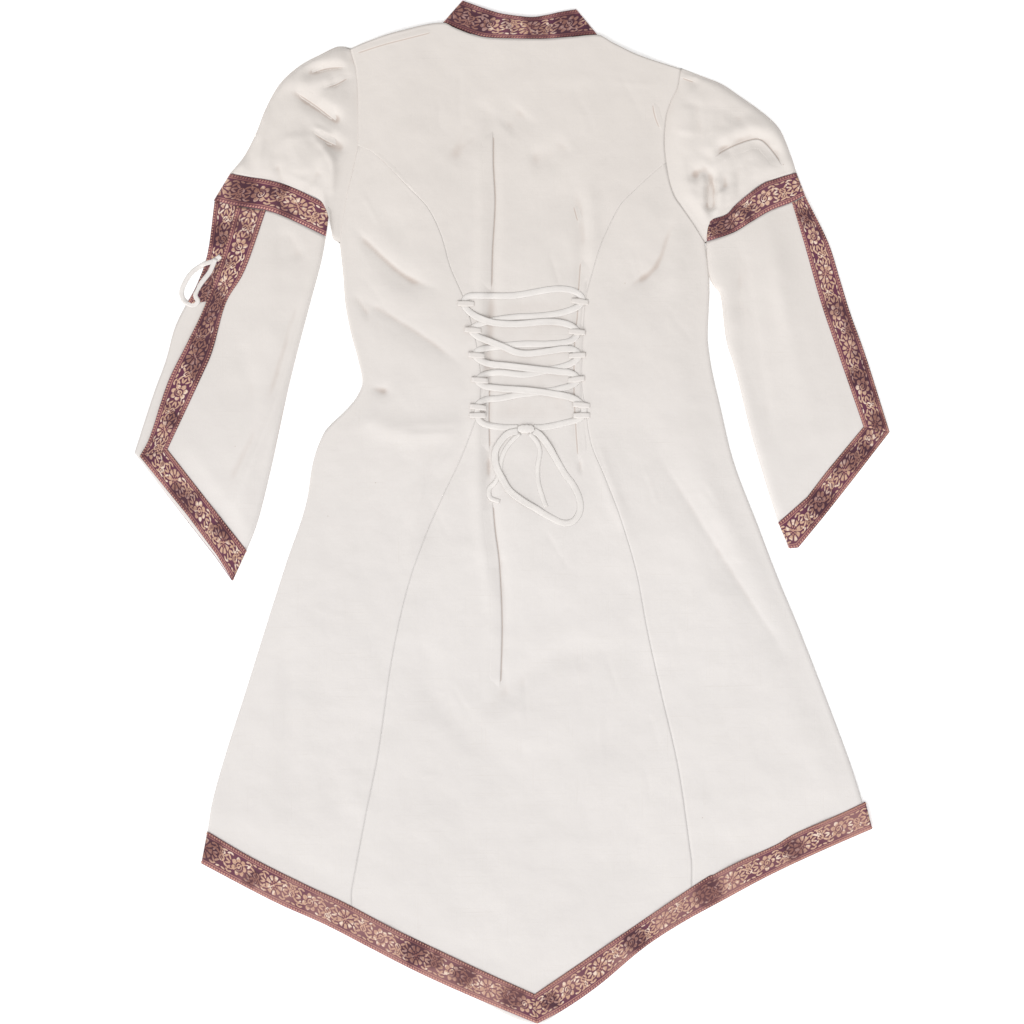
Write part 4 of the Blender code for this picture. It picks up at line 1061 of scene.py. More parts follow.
def heights_of(pieces):
    """A function that gives the height of the highest of some pieces over a place."""
    trees = []
    for piece in pieces:
        mesh = piece.data
        trees.append(BVHTree.FromPolygons(
            [v.co.copy() for v in mesh.vertices], [tuple(p.vertices) for p in mesh.polygons]
        ))

    def height(x, y):
        best = 0.0
        for tree in trees:
            hit = tree.ray_cast(Vector((x * MM, y * MM, 0.1)), Vector((0, 0, -1)))[0]
            if hit is not None:
                best = max(best, hit.z / MM)
        return best

    return height


def even_points(route, spacing):
    """Points at even steps along a smooth curve through a route of (x, y, over)."""
    line = rounded(route, 10)
    run = run_of(line)
    count = max(2, round(run[-1] / spacing))
    places = np.linspace(0, run[-1], count + 1)
    return np.stack([np.interp(places, run, line[:, k]) for k in range(3)], axis=-1)


# Section of a flat tape: rows of (share of half its width, share of its thickness).
TAPE_SECTION = [
    (-1.0, 0.15), (-0.86, 0.65), (-0.6, 0.95), (-0.25, 0.9), (0.25, 0.9), (0.6, 0.95), (0.86, 0.65),
    (1.0, 0.15), (0.92, 0.05), (0.4, 0.0), (-0.4, 0.0), (-0.92, 0.05),
]


def swept_faces(rows, count):
    """Faces of closed sections of count points one after another, with both ends filled."""
    index = np.arange(rows * count).reshape(rows, count)
    after = np.roll(index, -1, axis=1)
    sides = np.stack([index[:-1], after[:-1], after[1:], index[1:]], -1).reshape(-1, 4)
    caps = [
        [row[k], row[k + 1], row[count - 2 - k], row[count - 1 - k]]
        for row in (index[0][::-1], index[-1]) for k in range(count // 2 - 1)
    ]
    return np.concatenate([sides, caps])


def swept_map(run, width, count):
    """Texture places of a swept tape: along it and round it, in metres."""
    around = np.linspace(0, 2 * width, count)
    return np.stack(np.broadcast_arrays(run[:, None], around[None]), -1).reshape(-1, 2) * MM


def make_tape(name, route, width, ground, finish):
    """A flat tape along a route, on the cloth or over another strand. Returns it and its line."""
    points = even_points(route, TAPE_STEP)
    ahead = np.gradient(points[:, :2], axis=0)
    ahead /= np.maximum(1e-6, np.linalg.norm(ahead, axis=1))[:, None]
    across = np.stack([-ahead[:, 1], ahead[:, 0]], axis=-1)
    half = np.full(len(points), width / 2)
    levels = np.array([
        max(ground(*(p[:2] + a * h * side)) for side in (-1, -0.5, 0, 0.5, 1))
        for p, a, h in zip(points, across, half)
    ])
    middles = np.array([ground(*p[:2]) for p in points])
    levels = np.minimum(levels, middles + 0.35)
    highest = np.array([levels[max(0, k - 1):k + 2].max() for k in range(len(levels))])
    kernel = np.hanning(7)[1:-1]
    kernel = kernel / kernel.sum()
    level = np.convolve(np.pad(highest, 2, mode="edge"), kernel, mode="valid")
    level = np.maximum(level, highest - 0.2) + 0.08 + points[:, 2] * (TAPE + 0.3)
    section = np.array(TAPE_SECTION)
    run = run_of(points)
    tilt = 0.3 * np.sin(run / 23.0) + 0.15 * np.sin(run / 9.0 + 1.0)
    rows = []
    for p, a, h, z, lean in zip(points, across, half, level, tilt):
        offset = section[:, :1] * h
        xy = p[None, :2] + a[None] * offset
        rise = z + section[:, 1] * TAPE + np.maximum(0, lean * section[:, 0])
        beside = [ground(*(p[:2] + a * h * 1.1 * turn)) + 0.04 for turn in (-1, 1)]
        down = (1 - p[2]) * np.abs(section[:, 0]) ** 4
        rise = rise * (1 - down) + np.where(section[:, 0] < 0, *beside) * down
        rows.append(np.concatenate([xy, rise[:, None]], axis=1))
    grid = np.array(rows)
    count = len(section)
    places = swept_map(run, width, count)
    piece = piece_from(name, grid.reshape(-1, 3), swept_faces(len(grid), count), finish, places)
    line = np.column_stack([points[:, :2], level + TAPE / 2]) * MM
    return piece, line


def make_loops(cloth, laced, finish):
    """The twelve short loops on the princess seams, each from foot to foot over the lace."""
    for side, middles in (("left", LEFT_LOOPS), ("right", RIGHT_LOOPS)):
        for number, (x0, y0) in enumerate(middles, 1):
            spots = [
                (x0 + LOOP_LENGTH * share / 10, y0 + dy)
                for share in range(-5, 6) for dy in (-0.4 * LOOP_WIDTH, 0, 0.4 * LOOP_WIDTH)
            ]
            foot = max(cloth(x, y) for x, y in spots) + 0.1
            crown = max(laced(x, y) for x, y in spots) + 0.2
            share = np.linspace(-0.5, 0.5, 25)
            rise = blend(0.5 - np.abs(share), 0.02, 0.14)
            lean = 1.2 * np.sin(number * 2.4 + x0)
            line = np.column_stack([
                x0 + LOOP_LENGTH * share, y0 + lean * share * 2, foot + (crown - foot) * rise
            ])
            section = np.array(TAPE_SECTION)
            half = LOOP_WIDTH / 2 * (0.92 + 0.08 * np.cos(share * math.pi * 2))
            grid = np.array([
                np.column_stack([
                    np.full(len(section), p[0]), p[1] + section[:, 0] * h, p[2] + section[:, 1] * 0.8
                ])
                for p, h in zip(line, half)
            ])
            count = len(section)
            places = swept_map(run_of(line), LOOP_WIDTH, count)
            name = "lacing_loop_cloth_%s_%d" % (side, number)
            faces = swept_faces(len(grid), count)
            piece = piece_from(name, grid.reshape(-1, 3), faces, finish, places)
            place_on_body(piece, "cotton", "lacing_loop_%s_%d" % (side, number))


def make_knot(ground, finish):
    """The knot of the lace: a flattened lump with the tape's turns showing across it."""
    base = max(
        ground(KNOT["x"] + a * KNOT["length"] / 2, KNOT["y"] + b * KNOT["width"] / 2)
        for a in (-1, 0, 1) for b in (-1, 0, 1)
    )
    around = np.linspace(0, 2 * math.pi, 49)[:-1][None]
    tilt = np.linspace(0.02, math.pi - 0.02, 33)[:, None]
    x = -np.cos(tilt) * KNOT["length"] / 2 + 0 * around
    size = np.sin(tilt) ** 0.6
    turns = 1 + 0.09 * np.sin(x * 1.3 + 1.6 * np.sin(around))
    y = KNOT["width"] / 2 * size * np.cos(around) * turns
    swell = size * np.sign(np.sin(around)) * np.abs(np.sin(around)) ** 0.8 * turns
    z = base + 0.2 + KNOT["height"] / 2 * (1 + swell)
    points = np.stack([KNOT["x"] + x, KNOT["y"] + y, z], axis=-1)
    places = np.stack([x, y], axis=-1).reshape(-1, 2) * MM
    faces = swept_faces(*points.shape[:2])
    return piece_from("lace_knot_cloth", points.reshape(-1, 3), faces, finish, places)


class Weave:
    """Adds nodes to a material, so that a pattern reads as sums."""

    def __init__(self, name):
        self.material = bpy.data.materials.new(name)
        self.material.use_nodes = True
        self.tree = self.material.node_tree
        self.shader = self.tree.nodes["Principled BSDF"]

    def node(self, kind, **settings):
        made = self.tree.nodes.new(kind)
        for key, value in settings.items():
            setattr(made, key, value)
        return made

    def put(self, socket, value):
        if isinstance(value, bpy.types.NodeSocket):
            self.tree.links.new(value, socket)
        else:
            socket.default_value = value

    def sum(self, operation, a, b=0.0, c=0.0):
        made = self.node("ShaderNodeMath", operation=operation)
        for socket, value in zip(made.inputs, (a, b, c)):
            self.put(socket, value)
        return made.outputs[0]

    def plus(self, a, b):
        return self.sum("ADD", a, b)

    def minus(self, a, b):
        return self.sum("SUBTRACT", a, b)

    def times(self, a, b):
        return self.sum("MULTIPLY", a, b)

    def scaled(self, value, factor, shift):
        return self.sum("MULTIPLY_ADD", value, factor, shift)

    def most(self, a, b):
        return self.sum("MAXIMUM", a, b)

    def size_of(self, value):
        return self.sum("ABSOLUTE", value)

    def step(self, value, start, end):
        """0 before start and 1 after end, smooth between; start may be above end."""
        made = self.node("ShaderNodeMapRange", interpolation_type="SMOOTHSTEP")
        for key, number in (("Value", value), ("From Min", start), ("From Max", end)):
            self.put(made.inputs[key], number)
        return made.outputs["Result"]

    def mix(self, share, a, b, blend_type="MIX"):
        made = self.node("ShaderNodeMix", data_type="RGBA", blend_type=blend_type)
        self.put(made.inputs["Factor"], share)
        self.put(made.inputs[6], a)
        self.put(made.inputs[7], b)
        return made.outputs[2]

    def noise(self, place, scale, detail=2.0, rough=0.5):
        made = self.node("ShaderNodeTexNoise")
        self.put(made.inputs["Vector"], place)
        self.put(made.inputs["Scale"], scale)
        self.put(made.inputs["Detail"], detail)
        self.put(made.inputs["Roughness"], rough)
        return made.outputs["Fac"]

    def stretched(self, place, x, y, z=1.0, turn=0.0):
        made = self.node("ShaderNodeMapping")
        self.put(made.inputs["Vector"], place)
        made.inputs["Scale"].default_value = (x, y, z)
        made.inputs["Rotation"].default_value = (0, 0, turn)
        return made.outputs["Vector"]

    def bump(self, height, strength, distance):
        made = self.node("ShaderNodeBump")
        self.put(made.inputs["Height"], height)
        made.inputs["Strength"].default_value = strength
        made.inputs["Distance"].default_value = distance
        self.put(self.shader.inputs["Normal"], made.outputs["Normal"])

    def threads(self, place, pitch, thread="X"):
        """0 to 1 across parallel threads of that pitch in metres."""
        parts = self.node("ShaderNodeSeparateXYZ")
        self.put(parts.inputs[0], place)
        wave = self.sum("SINE", self.times(parts.outputs[thread], 2 * math.pi / pitch))
        return self.scaled(wave, 0.5, 0.5)


def coloured(color):
    """A colour property as a socket's four numbers."""
    return (*color, 1.0)


def cotton_finish(settings):
    """Plain unbleached cotton: a fine uneven weave, slubs, painted warm shade in its creases, and painted
    shade that darkens it towards the collar.
    """
    w = Weave("cream_cotton")
    place = w.node("ShaderNodeTexCoord").outputs["Object"]
    base = tuple(settings.cotton_color)
    cloudy = w.noise(place, 7.0, 3.0)
    parts = w.node("ShaderNodeSeparateXYZ")
    w.put(parts.inputs[0], place)
    # Painted shade: the cotton turns darker and yellower towards the collar, where less light falls.
    toward_hem = w.step(parts.outputs["Y"], 0.50, -0.20)
    top_shaded_tone = w.mix(toward_hem, coloured(settings.shaded_top_color), coloured(base))
    tone = w.mix(w.step(cloudy, 0.3, 0.7), w.mix(0.03, top_shaded_tone, (0, 0, 0, 1)), top_shaded_tone)
    across = w.noise(w.stretched(place, 14, 900), 1.0, 1.0)
    down = w.noise(w.stretched(place, 900, 14), 1.0, 1.0)
    slub = w.most(w.step(across, 0.62, 0.78), w.step(down, 0.64, 0.8))
    slub_tone = coloured(c * k for c, k in zip(base, (0.93, 0.91, 0.88)))
    tone = w.mix(w.times(slub, 0.35), tone, slub_tone)
    grain = w.noise(place, 900.0, 1.0)
    grainy = w.times(w.step(grain, 0.35, 0.75), 0.12)
    tone = w.mix(grainy, tone, coloured(c * 0.9 for c in base))
    fleck = w.node("ShaderNodeTexVoronoi", feature="F1")
    w.put(fleck.inputs["Vector"], place)
    fleck.inputs["Scale"].default_value = 34.0
    few = w.step(w.noise(place, 11.0), 0.56, 0.6)
    spot = w.times(w.step(fleck.outputs["Distance"], 0.03, 0.016), few)
    tone = w.mix(w.times(spot, 0.45), tone, coloured((0.45, 0.36, 0.28)))
    # Painted shade: darker and warmer where the fold depth is deep, in creases, in the lapped folds'
    # gutters and between the lace's loops.
    fold = w.node("ShaderNodeAttribute", attribute_name="fold").outputs["Fac"]
    deep = w.sum("POWER", w.step(fold, 0.2, settings.crease_depth), 1.3)
    tone = w.mix(w.times(deep, settings.crease_shade), tone, coloured(settings.crease_shade_color))
    w.put(w.shader.inputs["Base Color"], tone)
    w.shader.inputs["Roughness"].default_value = 0.92
    w.shader.inputs["Specular IOR Level"].default_value = 0.25
    w.shader.inputs["Sheen Weight"].default_value = 0.12
    w.shader.inputs["Sheen Roughness"].default_value = 0.5
    pitch = settings.weave_pitch
    weave = w.times(w.threads(place, pitch, "X"), w.threads(place, pitch, "Y"))
    height = w.scaled(slub, 0.8, w.plus(weave, w.times(grain, 0.7)))
    soft = w.plus(w.times(w.noise(place, 60.0, 3.0), 6.0), height)
    w.bump(soft, 0.35, 0.00025)
    return w.material


def tape_finish(settings):
    """Flat cotton tape: fine ribs along it, slightly darker, over a cloudy tone."""
    w = Weave("cotton_tape")
    place = w.node("ShaderNodeUVMap").outputs["UV"]
    ribs = w.threads(place, 0.0007, "Y")
    picks = w.threads(place, 0.0006, "X")
    own = w.node("ShaderNodeTexCoord").outputs["Object"]
    base = settings.tape_color
    cloudy = w.step(w.noise(own, 60.0, 2.0), 0.35, 0.7)
    tone = w.mix(cloudy, coloured(c * 0.95 for c in base), coloured(base))
    tone = w.mix(w.times(ribs, 0.1), tone, coloured(c * 0.86 for c in base))
    w.put(w.shader.inputs["Base Color"], tone)
    w.shader.inputs["Roughness"].default_value = 0.85
    w.shader.inputs["Sheen Weight"].default_value = 0.1
    w.bump(w.plus(ribs, w.times(picks, 0.5)), 0.5, 0.0002)
    return w.material


def brocade_finish(settings):
    """The ribbon: rungs along both edges, and rosettes, flowers and leaves in gold thread, with painted
    light, glints and shade on its satin.
    """
    w = Weave("burgundy_brocade")
    place = w.node("ShaderNodeUVMap").outputs["UV"]
    parts = w.node("ShaderNodeSeparateXYZ")
    w.put(parts.inputs[0], place)
    # u runs along the ribbon and v across it from its middle, both in millimetres.
    warp = w.noise(place, 260.0, 1.0)
    u = w.scaled(parts.outputs["X"], 1000.0, w.scaled(warp, 1.0, -0.5))
    v = w.scaled(parts.outputs["Y"], 1000.0, -RIBBON_WIDTH / 2)
    off = w.size_of(v)
    half = settings.repeat_length * 500.0

    def near(value, target, reach):
        """1 where value is within reach of target."""
        return w.step(w.size_of(w.minus(value, target)), reach, reach * 0.55)

    def polar(x, y):
        radius = w.sum("SQRT", w.plus(w.times(x, x), w.times(y, y)))
        return radius, w.sum("ARCTAN2", y, x)

    def wave(angle, count, phase=0.0):
        return w.sum("COSINE", w.scaled(angle, count, phase))

    def place_in(period, shift):
        cell = w.sum("FLOORED_MODULO", w.plus(u, period / 2 - shift), period)
        return w.minus(cell, period / 2)

    first = place_in(2 * half, 0.0)
    radius, angle = polar(first, v)
    dots = w.times(near(radius, 3.5, 1.3), w.step(wave(angle, 7.0), -0.2, 0.3))
    round_petals = w.times(near(radius, 7.6, 3.3), w.step(wave(angle, 9.0), -0.8, -0.25))
    dotted = w.most(dots, w.step(radius, 1.9, 1.3))

    second = place_in(2 * half, half)
    radius, angle = polar(second, v)
    lobe = w.scaled(w.size_of(wave(angle, 3.5)), 3.2, 6.6)
    petals = w.step(w.minus(radius, lobe), 0.6, -0.4)
    vein = w.step(w.size_of(wave(angle, 3.5)), 0.12, 0.3)
    vein = w.most(vein, w.step(radius, 4.6, 4.0))
    spiral = w.step(w.sum("SINE", w.scaled(radius, 2.2, angle)), -0.35, 0.25)
    inner_gap = w.times(w.step(radius, 4.9, 4.4), w.step(radius, 3.6, 4.0))
    rosette = w.times(w.times(petals, vein), w.minus(1.0, inner_gap))
    rosette = w.times(rosette, w.most(spiral, w.step(radius, 5.6, 6.4)))

    flowers = 0.0
    for shift, side in ((half / 2, 6.6), (3 * half / 2, -6.6)):
        radius, angle = polar(place_in(2 * half, shift), w.minus(v, side))
        lobe = w.scaled(w.size_of(wave(angle, 2.5)), 1.6, 2.4)
        bloom = w.step(w.minus(radius, lobe), 0.4, -0.3)
        bloom = w.times(bloom, w.minus(1.0, near(radius, 1.5, 0.5)))
        flowers = w.most(flowers, bloom)

    def share_of(x, y, run_x, run_y, size):
        """How far (x, y) lies along a direction, as a share of size."""
        return w.plus(w.times(x, run_x / size), w.times(y, run_y / size))

    local = w.size_of(place_in(half, 0.0))
    leaves = 0.0
    for at, height, turn, long, wide in (
        (12.6, 5.4, 0.9, 3.2, 1.2), (14.4, 1.4, 0.3, 3.4, 1.1), (17.4, 4.8, -0.6, 3.2, 1.2),
        (10.4, 9.6, 0.3, 2.6, 1.1), (14.2, 9.3, -0.5, 2.4, 1.0), (19.4, 9.9, -0.2, 2.8, 1.0),
        (20.6, 1.6, 0.8, 2.6, 1.0),
    ):
        x = w.minus(local, at)
        y = w.minus(off, height)
        long_way = share_of(x, y, math.cos(turn), math.sin(turn), long)
        wide_way = share_of(x, y, -math.sin(turn), math.cos(turn), wide)
        size = w.plus(w.times(long_way, long_way), w.times(wide_way, wide_way))
        leaf = w.step(size, 1.15, 0.75)
        leaves = w.most(leaves, leaf)
    stem = w.times(w.sum("SINE", w.times(u, 2 * math.pi / half)), 6.2)
    stem = near(v, stem, 0.75)
    leaves = w.most(leaves, stem)

    field = w.step(off, 11.9, 11.4)
    along_edge = w.times(u, 2 * math.pi / settings.rung_pitch / 1000)
    rungs = w.step(w.sum("SINE", along_edge), -0.45, 0.15)
    ladder = w.times(near(off, 15.1, 1.6), rungs)
    edge_rows = w.most(ladder, near(off, 12.4, 0.5))
    pink = w.most(edge_rows, w.times(dotted, field))
    blooms = w.most(w.most(rosette, round_petals), flowers)
    gold = w.times(w.most(blooms, leaves), field)

    own = w.node("ShaderNodeTexCoord").outputs["Object"]
    strands = w.noise(w.stretched(place, 2600, 420, 1, 0.6), 1.0, 2.0)
    broken = w.step(strands, 0.28, 0.5)
    golds = coloured(settings.gold_color), coloured(settings.pale_gold_color)
    pale = w.mix(w.noise(own, 90.0, 2.0), *golds)
    grounds = coloured(settings.burgundy_color), coloured(settings.plum_color)
    ground = w.mix(w.noise(place, 700.0, 2.0), *grounds)
    edge_ground = w.mix(w.step(off, 11.2, 11.9), ground, coloured(settings.rose_color))
    gold_share = w.times(gold, w.scaled(broken, 0.45, 0.5))
    colour = w.mix(gold_share, edge_ground, pale)
    pink_share = w.times(pink, w.scaled(broken, 0.4, 0.5))
    colour = w.mix(pink_share, colour, coloured(settings.pink_color))
    # Painted light and shade on the satin: lit patches, more of them towards the hem, and dark sheen
    # patches where it turns from the light.
    where = w.node("ShaderNodeSeparateXYZ")
    w.put(where.inputs[0], own)
    at_hem = w.step(where.outputs["Y"], -0.28, -0.36)
    patches = w.noise(own, settings.sheen_scale, 2.0, 0.55)
    lit = w.step(w.noise(own, settings.sheen_scale * 0.8, 1.0), 0.42, 0.62)
    most = w.scaled(at_hem, 0.28, 0.08)
    lit = w.times(most, w.scaled(lit, 0.8, 0.2))
    colour = w.mix(lit, colour, coloured(settings.lit_color))
    # Painted glint: highlights on the gold thread.
    glint = w.times(gold, w.step(w.noise(own, 150.0, 2.0), 0.52, 0.66))
    colour = w.mix(w.times(glint, 0.7), colour, coloured(settings.glint_color))
    start, end = (w.scaled(at_hem, 0.2, limit) for limit in (0.47, 0.62))
    dark = w.step(patches, start, end)
    ragged = w.scaled(w.noise(own, 130.0, 2.0), 0.014, -0.007)
    for x, y, reach in SATIN_SHADOWS:
        away = w.node("ShaderNodeVectorMath", operation="DISTANCE")
        w.put(away.inputs[0], own)
        away.inputs[1].default_value = (x * MM, y * MM, 5 * MM)
        spot = w.step(w.plus(away.outputs["Value"], ragged), reach * MM, 0.45 * reach * MM)
        dark = w.most(dark, spot)
    dark = w.times(dark, 0.85)
    colour = w.mix(dark, colour, coloured(settings.shadow_color), "MULTIPLY")
    w.put(w.shader.inputs["Base Color"], colour)
    thread = w.most(gold, pink)
    w.put(w.shader.inputs["Metallic"], w.times(thread, 0.35))
    w.put(w.shader.inputs["Roughness"], w.scaled(thread, -0.12, 0.62))
    w.shader.inputs["Sheen Weight"].default_value = 0.15
    w.bump(w.scaled(thread, 1.0, w.times(strands, 0.5)), 0.6, 0.0004)
    return w.material


def plain_finish(name, color, roughness):
    """A plain finish for thread."""
    w = Weave(name)
    place = w.node("ShaderNodeTexCoord").outputs["Object"]
    dim = coloured(c * 0.88 for c in color)
    w.put(w.shader.inputs["Base Color"], w.mix(w.noise(place, 400.0, 1.0), dim, coloured(color)))
    w.shader.inputs["Roughness"].default_value = roughness
    return w.material


def rung_tree(finish):
    """A row of raised thread rungs along a line, as a Geometry Nodes tree."""
    tree = bpy.data.node_groups.new("Rungs of thread along an edge", "GeometryNodeTree")
    face = tree.interface
    face.new_socket("Line", in_out="INPUT", socket_type="NodeSocketGeometry")
    for name in ("Pitch", "Length", "Width", "Height"):
        face.new_socket(name, in_out="INPUT", socket_type="NodeSocketFloat")
    face.new_socket("Rungs", in_out="OUTPUT", socket_type="NodeSocketGeometry")
    new, link = tree.nodes.new, tree.links.new
    given, result = new("NodeGroupInput"), new("NodeGroupOutput")
    curve = new("GeometryNodeMeshToCurve")
    even = new("GeometryNodeResampleCurve")
    even.mode = "LENGTH"
    tangent = new("GeometryNodeInputTangent")
    turn = new("FunctionNodeAlignRotationToVector")
    turn.axis = "X"
    rung = new("GeometryNodeMeshUVSphere")
    rung.inputs["Segments"].default_value = 6
    rung.inputs["Rings"].default_value = 4
    rung.inputs["Radius"].default_value = 0.5
    size = new("ShaderNodeCombineXYZ")
    set_on = new("GeometryNodeInstanceOnPoints")
    real = new("GeometryNodeRealizeInstances")
    smooth = new("GeometryNodeSetShadeSmooth")
    paint = new("GeometryNodeSetMaterial")
    paint.inputs["Material"].default_value = finish
    link(given.outputs["Line"], curve.inputs["Mesh"])
    link(curve.outputs["Curve"], even.inputs["Curve"])
    link(given.outputs["Pitch"], even.inputs["Length"])
    link(even.outputs["Curve"], set_on.inputs["Points"])
    link(tangent.outputs[0], turn.inputs["Vector"])
    link(turn.outputs["Rotation"], set_on.inputs["Rotation"])
    link(rung.outputs["Mesh"], set_on.inputs["Instance"])
    link(given.outputs["Length"], size.inputs["X"])
    link(given.outputs["Width"], size.inputs["Y"])
    link(given.outputs["Height"], size.inputs["Z"])
    link(size.outputs[0], set_on.inputs["Scale"])
    link(set_on.outputs[0], real.inputs[0])
    link(real.outputs[0], smooth.inputs[0])
    link(smooth.outputs[0], paint.inputs["Geometry"])
    link(paint.outputs[0], result.inputs["Rungs"])
    return tree


def rungs_along(name, lines, tree, sizes):
    """Rungs of thread along lines of points, as one plain mesh. Sizes are in millimetres."""
    points, edges = [], []
    for line in lines:
        first = len(points)
        points += [tuple(c * MM for c in point) for point in line]
        edges += [(k, k + 1) for k in range(first, len(points) - 1)]
    mesh = bpy.data.meshes.new(name)
    mesh.from_pydata(points, edges, [])
    holder = linked(name + "_lines", mesh)
    modifier = holder.modifiers.new("rungs", "NODES")
    modifier.node_group = tree
    for item in tree.interface.items_tree:
        if item.in_out == "INPUT" and item.name in sizes:
            modifier[item.identifier] = sizes[item.name] * MM
    graph = bpy.context.evaluated_depsgraph_get()
    made = bpy.data.meshes.new_from_object(holder.evaluated_get(graph))
    bpy.data.objects.remove(holder)
    made.name = name
    return linked(name, made)


def finish_named(name, make, settings):
    """A finish that is made once and then shared."""
    return bpy.data.materials.get(name) or make(settings)


def place_on_body(piece, slot, *nodes):
    """The piece rides on the gown and stands for its solids, which it hides; its slot is not used."""
    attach(piece, "root")
    if nodes:
        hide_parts(*nodes)
    return piece


def color_setting(name, description, default):
    """A colour setting."""
    return FloatVectorProperty(
        name=name, description=description, subtype="COLOR", size=3, default=default, min=0, max=1,
    )


class GownClothSettings(PropertyGroup):
    """Sizes and colours of the cotton and of the tape."""

    cotton_color: color_setting("Cotton", "Colour of the unbleached cotton", (0.815, 0.775, 0.75))
    # Painted shade: the cotton's darker colour towards the collar.
    shaded_top_color: color_setting("Shaded top", "Colour of the cotton towards the collar", (0.755, 0.70, 0.655))
    # Painted shade: the warm dark colour laid into the creases.
    crease_shade_color: color_setting("Crease", "Warmer tone in the creases", (0.44, 0.325, 0.26))
    crease_shade: FloatProperty(
        name="Crease shade", description="How strongly creases are toned", subtype="FACTOR",
        default=0.5, min=0, max=1,
    )
    crease_depth: FloatProperty(
        name="Crease depth", description="Depth in millimetres at which a crease is fully toned",
        default=2.4, min=0.1, max=5,
    )
    weave_pitch: FloatProperty(
        name="Weave pitch", description="Distance between the cotton's threads", unit="LENGTH",
        default=0.0009, min=0.0003, max=0.005,
    )
    tape_color: color_setting("Tape", "Colour of the lace and of the tie", (0.86, 0.815, 0.78))


class GownRibbonSettings(PropertyGroup):
    """Sizes and colours of the brocade ribbon."""

    burgundy_color: color_setting("Burgundy", "Satin ground of the ribbon", (0.135, 0.014, 0.060))
    plum_color: color_setting("Plum", "Darker threads of the ground", (0.075, 0.009, 0.036))
    rose_color: color_setting("Rose", "Ground of the ribbon's edges", (0.19, 0.04, 0.075))
    pink_color: color_setting("Pink", "Rungs of thread and rosette centres", (0.60, 0.32, 0.235))
    gold_color: color_setting("Gold", "Thread of the flowers", (0.56, 0.31, 0.195))
    pale_gold_color: color_setting("Pale gold", "Lighter thread of the leaves", (0.88, 0.60, 0.43))
    # Painted glint: the highlight colour on the gold thread.
    glint_color: color_setting("Glint", "Brightest thread", (1.0, 0.84, 0.70))
    lit_color: color_setting(
        "Lit satin", "Tone of the satin where it catches the light", (0.58, 0.32, 0.27)
    )
    shadow_color: color_setting(
        "Sheen shadow", "Where the satin turns from the light", (0.36, 0.22, 0.27)
    )
    repeat_length: FloatProperty(
        name="Repeat", description="Length of the pattern's repeat", unit="LENGTH",
        default=0.091, min=0.02, max=0.5,
    )
    rung_pitch: FloatProperty(
        name="Rung pitch", description="Distance between the rungs of the edges", unit="LENGTH",
        default=0.0032, min=0.001, max=0.01,
    )
    sheen_scale: FloatProperty(
        name="Sheen patches", description="How many dark patches lie along a metre of ribbon",
        default=24.0, min=1, max=200,
    )


class GownStageSettings(PropertyGroup):
    """The floor, the lights and the camera."""

    floor_color: color_setting("Floor", "Colour of the floor", (0.97, 0.97, 0.97))
    floor_glow: FloatProperty(
        name="Floor glow", description="Light of the floor's own, which keeps it white",
        default=0.30, min=0,
    )
    key_power: FloatProperty(
        name="Key light", description="Strength of the soft light from below the hem",
        default=2.2, min=0,
    )
    key_softness: FloatProperty(
        name="Softness", description="Width of the key light in degrees", default=66.0, min=0, max=90,
    )
    fill_strength: FloatProperty(
        name="Fill", description="Strength of the even light from all round", default=0.60, min=0,
    )
    lens: FloatProperty(
        name="Lens", description="Focal length of the camera in millimetres", default=200.0, min=20,
    )


class GOWN_OT_front(Operator):
    """Makes the front, one flat panel under the back"""

    bl_idname = "gown.front"
    bl_label = "Front"

    def execute(self, context):
        cotton = finish_named("cream_cotton", cotton_finish, context.scene.gown_cloth)
        piece = place_on_body(make_front(cotton), "cotton", "front_panel")
        return {"FINISHED"}


class GOWN_OT_back(Operator):
    """Makes the centre back and both side backs"""

    bl_idname = "gown.back"
    bl_label = "Back"

    def execute(self, context):
        cotton = finish_named("cream_cotton", cotton_finish, context.scene.gown_cloth)
        nodes = ("back_centre", "back_side_left", "back_side_right")
        centre, left, right = make_back(cotton)
        centre = make_lips("gown_back_centre", centre, BACK_LIPS, cotton)
        for piece, node in zip((centre, left, right), nodes):
            place_on_body(piece, "cotton", node)
        return {"FINISHED"}


class GOWN_OT_sleeves(Operator):
    """Makes the gathered upper sleeves, the arm bands and the open lower sleeves"""

    bl_idname = "gown.sleeves"
    bl_label = "Sleeves"

    def execute(self, context):
        cotton = finish_named("cream_cotton", cotton_finish, context.scene.gown_cloth)
        brocade = finish_named("burgundy_brocade", brocade_finish, context.scene.gown_ribbon)
        for side, cut in SLEEVES.items():
            upper = make_upper_sleeve(side, cut, cotton)
            upper = make_lips("sleeve_upper_%s_cloth" % side, upper, cut["lips"], cotton)
            place_on_body(upper, "cotton", "sleeve_upper_" + side)
            band = make_arm_band(side, cut, brocade)
            place_on_body(band, "brocade", "arm_band_" + side)
            lower, ribbons = make_lower_sleeve(side, cut, cotton, brocade)
            place_on_body(lower, "cotton", "sleeve_lower_" + side)
            for ribbon, layer in zip(ribbons, ("back", "front")):
                place_on_body(ribbon, "brocade", "sleeve_trim_%s_%s" % (side, layer))
        return {"FINISHED"}


class GOWN_OT_ribbons(Operator):
    """Makes the collar band and the ribbons along the hem"""

    bl_idname = "gown.ribbons"
    bl_label = "Collar and hem ribbons"

    def execute(self, context):
        brocade = finish_named("burgundy_brocade", brocade_finish, context.scene.gown_ribbon)
        place_on_body(make_collar(brocade), "brocade", "collar")
        hems = make_hem_ribbons(brocade)
        place_on_body(hems["hem_ribbon_back"], "brocade", "hem_trim_back")
        place_on_body(hems["hem_ribbon_front"], "brocade", "hem_trim_front")
        return {"FINISHED"}


